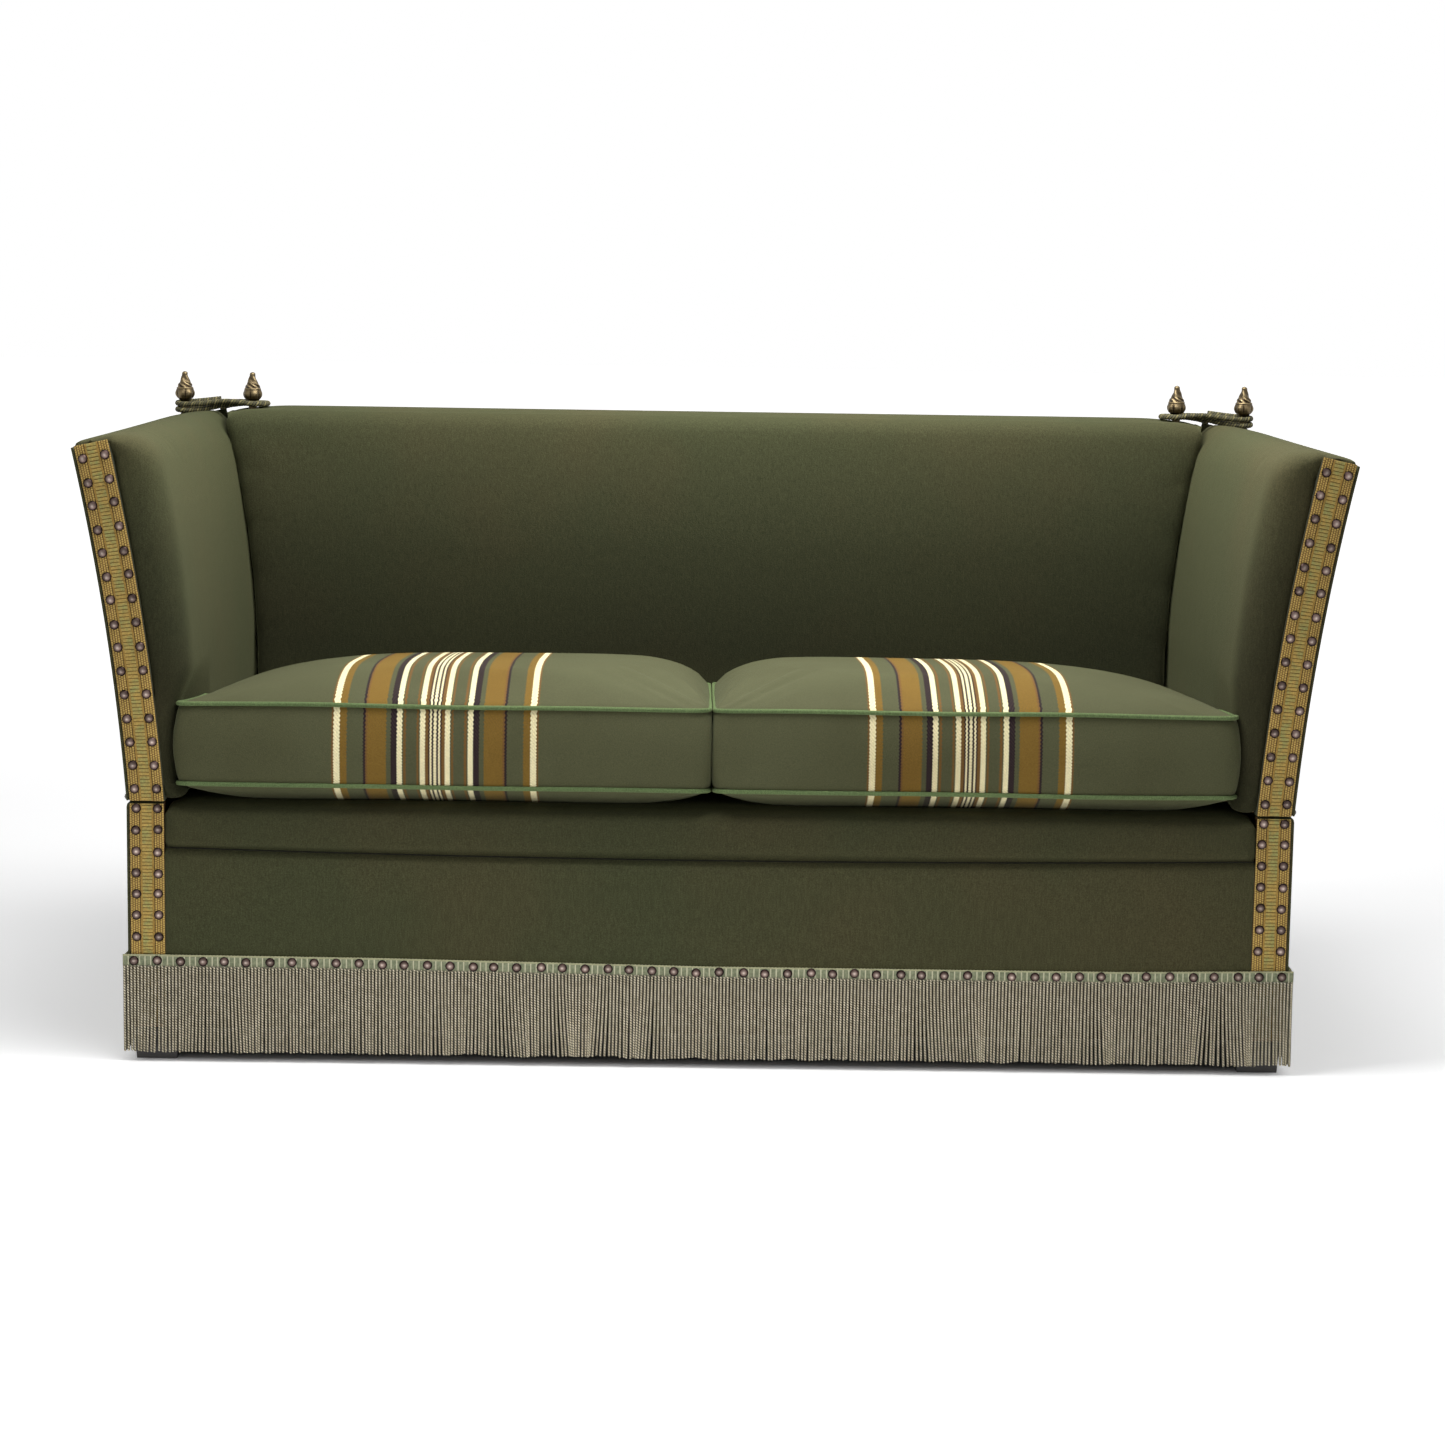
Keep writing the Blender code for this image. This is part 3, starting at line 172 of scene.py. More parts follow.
class Finish(Wiring):
    """A material, whose shader is set socket by socket."""

    def __init__(self, name, **sockets):
        self.look = bpy.data.materials.new(name)
        self.look.use_nodes = True
        super().__init__(self.look.node_tree)
        self.shader = self.nodes["Principled BSDF"]
        self.set(**sockets)

    def set(self, **sockets):
        for key, value in sockets.items():
            self.put(self.shader.inputs[key.replace("_", " ")], value)

    def bump(self, height, distance, strength, below=None):
        made = self.node("Bump", Height=height, Distance=distance, Strength=strength)
        if below is not None:
            self.links.new(below, made.inputs["Normal"])
        self.set(Normal=made.outputs["Normal"])
        return made.outputs["Normal"]


# %% [markdown]
# ## Light and floor
#
# Upholstery is photographed in soft light from large sources, because a small lamp draws hard
# shadows that hide the nap of the wool. A wide lamp stands high on the right, a weaker one on the
# left, the strongest hangs close overhead, and a low reflector in front opens the shadows under
# the cushions. The floor is pale. What only the camera sees of it is lifted to white, but not
# close to the sofa, and under the sofa its colour is painted dark, a painted shadow.

# %% Light and floor
for name, place, target, size, power in (
        ("window_right", (2.3, -2.6, 3.2), (0, 0, 0.4), (2.4, 2.0), 11),
        ("window_left", (-2.6, -2.9, 2.9), (0, 0, 0.4), (2.4, 2.0), 7),
        ("ceiling", (0.05, -0.32, 1.9), (0, -0.2, 0), (1.7, 0.8), 53),
        ("reflector", (-0.1, -1.45, 0.10), (0, -0.38, 0.22), (2.4, 0.3), 7)):
    bpy.ops.object.light_add(type="AREA", location=place)
    lamp = bpy.context.object
    lamp.name = name
    lamp.data.shape = "RECTANGLE"
    lamp.data.size, lamp.data.size_y = size
    lamp.data.energy = power
    lamp.visible_camera = name != "reflector"
    lamp.rotation_euler = (Vector(target) - Vector(place)).to_track_quat("-Z", "Y").to_euler()


def seen_by_camera(made):
    """One where the camera, a gloss or a glass looks, and nothing for other rays."""
    path = made.node("LightPath").outputs
    either = made.math("MAXIMUM", path["Is Camera Ray"], path["Is Glossy Ray"])
    return made.math("MAXIMUM", either, path["Is Transmission Ray"])


world = bpy.data.worlds.new("studio")
bpy.context.scene.world = world
world.use_nodes = True
studio = Wiring(world.node_tree)
dim = studio.nodes["Background"]
studio.put(dim.inputs["Color"], (0.97, 0.98, 1.0))
studio.put(dim.inputs["Strength"], 0.15)
white = studio.node("Background", Color=1, Strength=1)
choose = studio.node("MixShader")
for socket, source in zip(choose.inputs, (seen_by_camera(studio), dim.outputs[0],
                                          white.outputs[0])):
    studio.put(socket, source)
studio.put(studio.nodes["World Output"].inputs["Surface"], choose.outputs[0])

bpy.ops.mesh.primitive_plane_add(size=60, location=(0, 0, -0.0005))
floor = bpy.context.object
floor.name = "studio_floor"
paint = Finish("pale_floor", Roughness=0.9, Specular_IOR_Level=0.1, Emission_Color=1)
place = paint.split(paint.coordinate())
past_x, past_y = (paint.math("SUBTRACT", paint.math("ABSOLUTE", place[axis]), half)
                  for axis, half in (("X", 0.74), ("Y", 0.36)))
beside = paint.math("MAXIMUM", past_x, past_y)
# Painted shadow: the floor's own colour is dark under the sofa and pale a little way beyond it.
shade = paint.node("MapRange", Value=beside, From_Min=-0.02, From_Max=0.01, To_Min=0.22,
                   To_Max=0.86)
clear = paint.node("MapRange", Value=beside, From_Max=0.055, To_Max=0.50)
clear.interpolation_type = "SMOOTHSTEP"
far = paint.node("MapRange", Value=beside, From_Min=0.6, From_Max=3.0, To_Max=0.45)
lifted = paint.math("ADD", clear.outputs[0], far.outputs[0])
paint.set(Base_Color=shade.outputs[0],
          Emission_Strength=paint.math("MULTIPLY", seen_by_camera(paint), lifted))
floor.data.materials.append(paint.look)

# %% [markdown]
# ## Small tools
#
# Blender's operators act on whatever is selected, so `take` first clears the selection and then
# makes one piece active. Meshes are moved as whole arrays of points, which is quick even for a
# braid with tens of thousands of them. What repeats hundreds of times, such as a strand or a nail
# head, is modelled once and written into one mesh by `from_arrays`.

# %% Small tools
def take(piece):
    """Selects this piece alone and makes it active."""
    bpy.ops.object.select_all(action="DESELECT")
    piece.select_set(True)
    bpy.context.view_layer.objects.active = piece


def start_editing(piece, action="SELECT"):
    """Opens edit mode for one piece, with everything selected or nothing."""
    take(piece)
    bpy.ops.object.mode_set(mode="EDIT")
    bpy.ops.mesh.select_all(action=action)


def stop_editing():
    bpy.ops.object.mode_set(mode="OBJECT")


def points_of(piece, what="co"):
    flat = np.empty(len(piece.data.vertices) * 3)
    piece.data.vertices.foreach_get(what, flat)
    return flat.reshape(-1, 3)


def set_points(piece, points):
    piece.data.vertices.foreach_set("co", np.ascontiguousarray(points, float).ravel())
    piece.data.update()


def modify(piece, kind, **settings):
    """Adds a modifier with these settings and applies it at once."""
    take(piece)
    step = piece.modifiers.new(kind.lower(), kind)
    for key, value in settings.items():
        setattr(step, key, value)
    bpy.ops.object.modifier_apply(modifier=step.name)


def outward(piece):
    """Merges doubles and turns every face outwards."""
    start_editing(piece)
    bpy.ops.mesh.remove_doubles(threshold=0.00001)
    bpy.ops.mesh.normals_make_consistent(inside=False)
    stop_editing()


def from_arrays(name, points, faces, edges=()):
    mesh = bpy.data.meshes.new(name)
    mesh.from_pydata(np.asarray(points).tolist(), edges, faces)
    piece = bpy.data.objects.new(name, mesh)
    bpy.context.collection.objects.link(piece)
    return piece


def copies(faces, count, size):
    """The faces of so many copies of a shape with this number of points."""
    return [tuple(i + n * size for i in face) for n in range(count) for face in faces]


def mark(piece, name, values):
    """Writes one value for each point, for a material to read."""
    piece.data.attributes.new(name, "FLOAT", "POINT").data.foreach_set("value", values)


def copy_of(node, name):
    """A merged copy of a CAD node, free to be changed."""
    piece = bpy.data.objects.new(name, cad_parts[node].data.copy())
    bpy.context.collection.objects.link(piece)
    piece.data.materials.clear()
    outward(piece)
    return piece


def dressed(piece, body, look, node, smooth=True):
    """Gives a finished piece its material and its body, and hides the CAD node it stands for."""
    take(piece)
    piece.data.materials.clear()
    piece.data.materials.append(look)
    if smooth is True:
        bpy.ops.object.shade_smooth()
    else:
        bpy.ops.object.shade_smooth_by_angle(angle=math.radians(smooth))
    if body:
        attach(piece, body)
    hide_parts(node)
    print(piece.name, len(piece.data.polygons), "faces")


def grid(name, columns, rows):
    """A flat unit grid; its UV map keeps where each point came from."""
    bpy.ops.object.select_all(action="DESELECT")
    bpy.ops.mesh.primitive_grid_add(x_subdivisions=columns, y_subdivisions=rows, size=1,
                                    location=(0.5, 0.5, 0))
    piece = bpy.context.object
    piece.name = name
    bpy.ops.object.transform_apply(location=True, rotation=True, scale=True)
    return piece


def uv_in_metres(piece, axis, length):
    """Stretches the UV map along one axis, so that a woven pattern keeps its size."""
    uv = piece.data.uv_layers.active.data
    spread = np.empty(len(uv) * 2)
    uv.foreach_get("uv", spread)
    spread[axis::2] *= length
    uv.foreach_set("uv", spread)


# %% [markdown]
# ## The curve of the arm
#
# Each arm leans outwards, and leans more the higher it rises, along an arc of about 3.3 m
# radius. `arm_place` gives a point by how far up the outer face it lies and how far in from it.
# Braid, nails and outside cover are all laid out flat and then wrapped with it, as the maker
# would lay cloth on the frame.

# %% The curve of the arm
SIDE, FRONT = 0.7815, 0.385
ARM_FOOT, ARM_RISE, ARM_THICKNESS = 0.3538, 0.479, 0.107
ARM_LEAN = math.radians(4.2)
ARM_RADIUS = ARM_RISE / math.radians(8.2)
FRAME_FRONT = 0.3807
SIDES = (("left", -1), ("right", 1))


def arm_place(rise, inward):
    """X and Z of places on the right arm; rise and inward may be arrays."""
    up = rise - inward * math.tan(ARM_LEAN) * (1 - rise / ARM_RISE)
    angle = ARM_LEAN + up / ARM_RADIUS
    x = SIDE + ARM_RADIUS * (math.cos(ARM_LEAN) - np.cos(angle)) - inward * np.cos(angle)
    z = ARM_FOOT + ARM_RADIUS * (np.sin(angle) - math.sin(ARM_LEAN)) + inward * np.sin(angle)
    return x, z


def arm_thickness(rise):
    return ARM_THICKNESS * (1 - 0.21 * np.clip(1 - rise / ARM_RISE, 0, 1) ** 2.6)


print("the arm's top leans", round(math.degrees(ARM_LEAN + ARM_RISE / ARM_RADIUS), 1), "degrees")

# %% [markdown]
# ## Materials: the cloths
#
# Felted wool has no shine. Its colour wavers a little from one part of a wide panel to another,
# fades towards brown where it is touched, and a fine nap catches light at a low angle, which is
# what sheen does. `cloth` builds that once, and each cloth gives it its own colours. The wool's
# colour is painted darker under the fringe and from the seat's front roll upwards, as painted
# shade, and the inside back and the arms are painted darker low down and lighter near the top,
# painted light and shade that follow how the light falls.

# %% Cloth
def cloth(name, main, worn, sheen, nap=0.0007, painted_shading=()):
    """painted_shading gives how light the cloth is painted at a few heights, in metres: painted
    light and shade that stand in for how the light falls.
    """
    made = Finish(name, Roughness=0.95, Specular_IOR_Level=0.12, Sheen_Weight=sheen,
                  Sheen_Roughness=0.42, Sheen_Tint="a9ad7c")
    place = made.coordinate()
    drift = made.math("SUBTRACT", made.noise(place, 2.3, 3.0, 0.6), 0.42, True)
    base = made.mix(made.math("MULTIPLY", drift, 2.4, True), main, worn)
    fibres = made.noise(place, 620, 2.0, 0.6)
    streak = made.noise(made.coordinate(scale=(520, 520, 90)), 1.0, 1.0)
    base = made.times(base, made.ramp(streak, (0.3, 0.88), (0.7, 1.10)))
    # Painted light and shade: the cloth's colour is made lighter or darker with the height.
    if painted_shading:
        base = made.times(base, made.ramp(made.split(place)["Z"], *painted_shading))
    made.set(Base_Color=made.times(base, made.ramp(fibres, (0.25, 0.66), (0.75, 1.28))))
    soft = made.bump(made.noise(place, 34, 3.0, 0.55), 0.0012, 0.35)
    made.bump(fibres, nap, 0.55, soft)
    return made.look


def wool(name, sheen, *painted_shading):
    return cloth(name, "3b3d28", "453f2a", sheen, painted_shading=painted_shading)


# Painted shade under the fringe and from the seat's front roll upwards; on the inside back and the
# arms, painted shade low down and painted light near the top.
WOOL = wool("olive_wool", 0.34, (0.118, 0.35), (0.136, 1.06), (0.26, 1.08), (0.33, 0.88))
BACK_WOOL = wool("back_wool", 0.34, (0.33, 0.70), (0.50, 0.46), (0.64, 0.66), (0.86, 1.16))
ARM_WOOL = wool("arm_wool", 0.16, (0.40, 0.50), (0.55, 0.55), (0.68, 0.75), (0.84, 1.30))
LINING = cloth("black_lining", "17161a", "1d1b1c", 0.1)
# A near-black cloth for the cord that stands in for the shadow in the seat's seam.
CREASE_SHADOW = cloth("crease_shadow", "15150d", "191810", 0.0)
PIPING = cloth("green_piping", "5a6b45", "68784f", 0.2, nap=0.0004)

# %% [markdown]
# The cushion cloth is woven with lengthwise stripes, mirrored about its middle: three fine white
# lines on black, then cream, brown, golden and near black bands on green. A colour ramp with
# constant steps holds the whole sequence. It reads the distance from the cushion's middle, so the
# stripes run over the top, down the border and under the edge, as one length of cloth would.

# %% The striped cloth
GREEN, CREAM, GOLD, BROWN, DARK = "4c4e36", "e8deb2", "735924", "6c4e28", "261b1f"
STRIPES = [(0.0, CREAM), (1.3, DARK), (4.1, CREAM), (6.7, DARK), (8.2, BROWN), (12.6, CREAM),
           (19.6, GREEN), (21.6, BROWN), (24.2, GREEN), (38.2, BROWN), (41.4, GREEN),
           (43.6, CREAM), (50.4, DARK), (58.2, GREEN), (65.0, GOLD), (89.4, BROWN),
           (92.4, DARK), (95.6, GREEN), (117.0, GOLD), (126.8, CREAM), (134.6, BROWN),
           (137.4, GREEN)]
STRIPE_SPAN = 0.160
TWILL = 2 * math.pi / 0.0042


def striped_cloth(name, middle):
    made = Finish(name, Roughness=0.9, Specular_IOR_Level=0.15, Sheen_Weight=0.18,
                  Sheen_Roughness=0.4, Sheen_Tint="b4bb93")
    calc = made.math
    place = made.coordinate()
    parts = made.split(place)
    aside = calc("SUBTRACT", parts["X"], middle)
    along = calc("SUBTRACT", parts["Z"], parts["Y"])
    yarn = calc("MULTIPLY", calc("SINE", calc("MULTIPLY", along, TWILL)), 0.00062)
    away = calc("ADD", calc("ABSOLUTE", aside), yarn)
    stops = [(mm / 1000 / STRIPE_SPAN, colour) for mm, colour in STRIPES]
    base = made.ramp(calc("DIVIDE", away, STRIPE_SPAN), *stops, constant=True)
    slant = calc("SINE", calc("MULTIPLY", calc("ADD", along, aside), TWILL))
    base = made.mix(calc("MULTIPLY", calc("GREATER_THAN", slant, 0.55), 0.16), base, "574a38")
    drift = made.ramp(made.noise(place, 4.0, 3.0, 0.6), (0.3, (0.86, 0.84, 0.80)), (0.7, 1.08))
    fibres = made.noise(place, 700, 2.0, 0.6)
    made.set(Base_Color=made.times(made.times(base, drift),
                                   made.ramp(fibres, (0.25, 0.78), (0.75, 1.16))))
    made.bump(fibres, 0.0006, 0.5)
    return made.look


print(len(STRIPES), "steps from the middle of a cushion outwards")

# %% [markdown]
# ## Materials: wood, webbing, metal
#
# The frame inside is planed beech, pinkish tan with short flecks. It only shows when an arm is
# down, but it is finished like the rest. The ends of the back and the fronts of the arms are
# covered with a strip of wool. Steel hinges are drawn, so their marks run lengthwise.

# %% Wood, webbing, metal
UPRIGHT = (0, math.radians(90), 0)


def wood(name, light, dark, turn=(0, 0, 0), roughness=0.6, covered=False):
    made = Finish(name, Roughness=roughness)
    place = made.coordinate(turn=turn)
    long, short = (made.node("Mapping", Vector=place, Scale=scale).outputs["Vector"]
                   for scale in ((1.5, 34, 34), (60, 600, 600)))
    grain, flecks = made.noise(long, 2.0, 6.0, 0.6), made.noise(short, 1.0)
    base = made.ramp(grain, (0.3, dark), (0.7, light))
    base = made.times(base, made.ramp(flecks, (0.58, 1), (0.72, (0.78, 0.72, 0.68))))
    if covered:
        spot = made.split(made.coordinate())
        facing = made.split(made.node("TexCoord").outputs["Normal"])
        away = made.math("MULTIPLY", spot["X"], facing["X"])
        hidden = made.math("MAXIMUM", made.math("GREATER_THAN", away, 0.4),
                           made.math("LESS_THAN", spot["Y"], -0.355))
        base = made.mix(hidden, base, "3d3f29")
    made.set(Base_Color=base)
    made.bump(flecks, 0.0002, 0.3)
    return made.look


BEECH = ("c79f72", "a67c51")
BEECH_ACROSS = wood("beech_across", *BEECH)
BEECH_DEEP = wood("beech_deep", *BEECH, turn=(0, 0, math.radians(90)))
BEECH_UP = wood("beech_up", *BEECH, turn=UPRIGHT)
COVERED_POST = wood("covered_post", *BEECH, turn=UPRIGHT, roughness=0.9, covered=True)
STAINED = wood("stained_foot", "1d1815", "0c0a09", turn=UPRIGHT, roughness=0.45)


def webbing():
    made = Finish("jute_webbing", Roughness=0.95)
    weave = made.node("TexChecker", Vector=made.coordinate(scale=(2400, 2400, 2400)),
                      Scale=1.0).outputs["Fac"]
    base = made.ramp(made.noise(made.coordinate(), 300, 3.0), (0.3, "8d7347"), (0.7, "b99a66"))
    made.set(Base_Color=made.mix(made.math("MULTIPLY", weave, 0.25), base, "6b5533"))
    made.bump(weave, 0.0003, 0.5)
    return made.look


def drawn_steel():
    made = Finish("drawn_steel", Metallic=1.0)
    patches = made.noise(made.coordinate(), 40, 4.0, 0.6)
    made.set(Base_Color=made.ramp(patches, (0.35, "403e3c"), (0.68, "6b6967")),
             Roughness=made.math("ADD", 0.35, made.math("MULTIPLY", patches, 0.22)))
    made.bump(made.noise(made.coordinate(scale=(900, 20, 900)), 1.0), 0.0001, 0.3)
    return made.look


JUTE, STEEL = webbing(), drawn_steel()

# %% [markdown]
# ## Hidden nodes keep their shape
#
# Rails, posts, blocks, feet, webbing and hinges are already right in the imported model, so they
# only get a finish. The grain has to run along each piece: rails lie across or from front to
# back, and posts stand up.

# %% Finishes for the nodes that stay
LOOKS = ((BEECH_ACROSS, "front_rail back_rail back_top_rail back_stay_rail"),
         (BEECH_DEEP, "centre_beam *_side_frame *_arm_top_rail *_arm_bottom_rail"),
         (BEECH_UP, "back_centre_stay *_arm_rear_post"),
         (COVERED_POST, "*_back_post *_arm_front_post"),
         (JUTE, "seat_webbing back_webbing *_arm_webbing"),
         (STAINED, "front_*_foot rear_*_foot"),
         (STEEL, "*_hinge_arm_leaf *_hinge_base_leaf *_hinge_pin"))
kept = {name.replace("*", side): look for look, names in LOOKS for name in names.split()
        for side, _ in SIDES}
for node, look in kept.items():
    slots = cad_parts[node].data.materials
    slots.clear()
    slots.append(look)
print(len(kept), "nodes keep their shape")

# %% [markdown]
# ## Stuffing, by simulation
#
# Padding pushes a cover out until the cloth is tight, and the seams hold it back. `stuffed`
# rebuilds a closed solid from small, even faces, draws it in a little, and lets Blender's cloth
# swell under pressure for twenty frames. Points near a seam are held. No point may end up further
# than the limit from where it began, so a pad never leaves the space that the frame gives it.

# %% Stuffing
FRAMES = 20


def stuffed(piece, size, drawn_in, limit, held=None, pressure=3.0, rounds=2):
    modify(piece, "REMESH", mode="VOXEL", voxel_size=size)
    modify(piece, "SMOOTH", factor=0.5, iterations=rounds)
    start = points_of(piece) - points_of(piece, "normal") * drawn_in
    set_points(piece, start)
    take(piece)
    step = piece.modifiers.new("stuffing", "CLOTH")
    step.settings.quality = 3
    step.settings.use_pressure = True
    step.settings.uniform_pressure_force = pressure
    step.settings.effector_weights.gravity = 0
    if held is not None:
        group = piece.vertex_groups.new(name="seams")
        group.add(np.nonzero(held(start))[0].tolist(), 1.0, "REPLACE")
        step.settings.vertex_group_mass = "seams"
    step.point_cache.frame_start = 1
    step.point_cache.frame_end = FRAMES
    for number in range(1, FRAMES + 1):
        bpy.context.scene.frame_set(number)
    bpy.ops.object.modifier_apply(modifier=step.name)
    bpy.context.scene.frame_set(1)
    piece.vertex_groups.clear()
    move = points_of(piece) - start
    length = np.linalg.norm(move, axis=1)
    move *= np.minimum(1, limit / np.maximum(length, 1e-9))[:, None]
    set_points(piece, start + move)
    print(piece.name, len(start), "points, moved up to", round(1000 * length.max(), 1), "mm")


def ease_in(value):
    """A smooth step from nought to one."""
    return value * value * (3 - 2 * value)


# %% [markdown]
# ## Two box cushions
#
# Each cushion is two panels and a border, sewn with piping in both seams. The seams keep their
# shape and everything between them swells: the panels crown, the border rolls out. The cushion
# lies on a deck that slopes back by four degrees, so its own frame is turned by as much. The
# cords are curves with a round bevel, made meshes, because a cord is a line with a thickness.

# %% Two box cushions
CUSHION_WIDTH, CUSHION_DEPTH = 0.6936, 0.600
MIDDLE = np.array([0, CUSHION_DEPTH / 2])
WELTS = (0.025, 0.133)
CROWN, BULGE, CORNER = 0.048, 0.0065, 0.026
LEAN_BACK = math.radians(4)
STRIPE_MIDDLE = {"left": -0.369, "right": 0.3445}
FLARE = {-1: 0.020, 1: 0.005}


def moved_by(points, matrix):
    turned = np.array(matrix)
    return points @ turned[:3, :3].T + turned[:3, 3]


def cushion_place(u, v, w, outer):
    """Places in the cushion's own frame for the points of a cube from -1 to 1.

    outer is the sign of u on the arm's side, where the front corner flares over the arm."""
    corner = np.clip((-v - 0.55) / 0.45, 0, 1)
    wide = CUSHION_WIDTH / 2 + np.where(u * outer > 0, 0.006 + FLARE[outer] * corner ** 2, 0.0008)
    swollen = BULGE * (1 - w ** 2)
    half = np.stack([wide + swollen, np.full_like(u, CUSHION_DEPTH / 2) + swollen])
    flat = np.stack([u, v]) * half
    core = np.clip(flat, -(half - CORNER), half - CORNER)
    spare = flat - core
    spare *= np.abs(spare).max(0) / np.maximum(np.hypot(*spare), 1e-9)
    x, y = core + spare
    inside = -u * outer
    crown = np.where(inside < 0, (1 - np.abs(u) ** 2.4) ** 0.62, (1 - np.abs(u) ** 5) ** 0.3)
    full = crown * (1 - np.abs(v) ** 3) ** 0.5 * (1 + 0.06 * inside)
    under = ((1 - np.abs(u) ** 6) * (1 - np.abs(v) ** 6)) ** 0.35
    z = (WELTS[0] + WELTS[1]) / 2 + (WELTS[1] - WELTS[0]) / 2 * w
    z = np.where(w > 0.999, WELTS[1] + CROWN * full, z)
    z = np.where(w < -0.999, WELTS[0] - 0.0242 * under, z)
    return np.column_stack([x, y + CUSHION_DEPTH / 2, z])


def round_cord(name, points, radius, closed=True):
    """A round cord along a line, made a mesh."""
    line = bpy.data.curves.new(name, "CURVE")
    line.dimensions = "3D"
    line.bevel_depth = radius
    line.bevel_resolution = 2
    line.use_fill_caps = not closed
    spline = line.splines.new("POLY")
    spline.use_cyclic_u = closed
    spline.points.add(len(points) - 1)
    for spot, point in zip(spline.points, points):
        spot.co = (*point, 1)
    piece = bpy.data.objects.new(name, line)
    bpy.context.collection.objects.link(piece)
    take(piece)
    bpy.ops.object.convert(target="MESH")
    return bpy.context.object


def make_cushion(side, sx):
    home = Matrix.Translation((sx * (CUSHION_WIDTH / 2 + 0.0015), -0.389, 0.3527)) @ \
        Matrix.Rotation(-LEAN_BACK, 4, "X")

    def seam(points):
        local = moved_by(points, home.inverted())
        past = np.abs(local[:, :2] - MIDDLE) - np.array([CUSHION_WIDTH, CUSHION_DEPTH]) / 2
        level = np.min([np.abs(local[:, 2] - welt) for welt in WELTS], axis=0)
        return (past.max(axis=1) > -0.022) & (level < 0.0045)

    bpy.ops.object.select_all(action="DESELECT")
    bpy.ops.mesh.primitive_cube_add(size=2)
    piece = bpy.context.object
    piece.name = side + "_cushion_cover"
    start_editing(piece)
    bpy.ops.mesh.subdivide(number_cuts=48)
    stop_editing()
    u, v, w = points_of(piece).T
    set_points(piece, moved_by(cushion_place(u, v, w, sx), home))
    outward(piece)
    stuffed(piece, 0.0075, 0.0015, 0.007, seam, pressure=5.0, rounds=3)
    local = moved_by(points_of(piece), home.inverted())
    local[:, 2] = np.maximum(local[:, 2], 0.0006)
    points = moved_by(local, home)
    points[:, 0] = sx * np.maximum(sx * points[:, 0], 0.0004)
    set_points(piece, points)
    modify(piece, "SUBSURF", levels=1, render_levels=1)
    node = side + "_cushion"
    dressed(piece, node, striped_cloth(side + "_stripes", STRIPE_MIDDLE[side]), node)

    edge = np.linspace(-1, 1, 90, endpoint=False)
    whole = np.ones(90)
    u = np.concatenate([edge, whole, -edge, -whole])
    v = np.concatenate([-whole, edge, whole, -edge])
    turn = np.linspace(0, 2 * math.pi, 360, endpoint=False)
    for name, w in (("lower", -0.998), ("upper", 0.998)):
        line = cushion_place(u, v, np.full(360, w), sx)
        line[:, :2] -= np.sign(line[:, :2] - MIDDLE) * 0.0012
        waver = np.random.default_rng(20 + 3 * sx + (5 if w > 0 else 0))
        line[:, 2] += sum(waver.uniform(0.0002, 0.0006) * np.sin(turn * k + waver.uniform(0, 6))
                          for k in (2, 3, 5, 8))
        line = moved_by(line, home)
        line[:, 0] = sx * np.maximum(sx * line[:, 0], 0.0033)
        dressed(round_cord(f"{side}_{name}_piping", line, 0.0030), node, PIPING, node)


for side, sx in SIDES:
    make_cushion(side, sx)

# %% [markdown]
# ## Arm pads, inside back and seat
#
# These are fixed upholstery: wool pulled tight over hair and tacked behind. Their shape is
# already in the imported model, so a copy of each solid is rebuilt from even faces and stuffed by
# a few millimetres only. `arm_measure` is `arm_place` asked backwards: with it the arm's front
# edge is eased to a soft roll, and its foot gives way where the cushion flares over it. The
# seat's front roll ends in a seam that has settled in its middle.

# %% Arm pads, inside back and seat
def arm_measure(points, sx):
    """How far up and how far in from the arm's outer face points lie."""
    x, z = sx * points[:, 0], points[:, 2]
    centre = (SIDE + ARM_RADIUS * math.cos(ARM_LEAN), ARM_FOOT - ARM_RADIUS * math.sin(ARM_LEAN))
    gap_x, gap_z = centre[0] - x, z - centre[1]
    rise = (np.arctan2(gap_z, gap_x) - ARM_LEAN) * ARM_RADIUS
    return rise, np.hypot(gap_x, gap_z) - ARM_RADIUS


def arm_shift(points, sx, shift):
    """Moves points inwards from the arm's outer face by a length each, or outwards if negative."""
    rise, _ = arm_measure(points, sx)
    angle = ARM_LEAN + rise / ARM_RADIUS
    moved = points.copy()
    moved[:, 0] -= sx * shift * np.cos(angle)
    moved[:, 2] += shift * np.sin(angle)
    return moved


def ramp_up(values, start, span):
    """Nought up to start, then rising to one over a span, which may be negative."""
    return np.clip((values - start) / span, 0, 1)


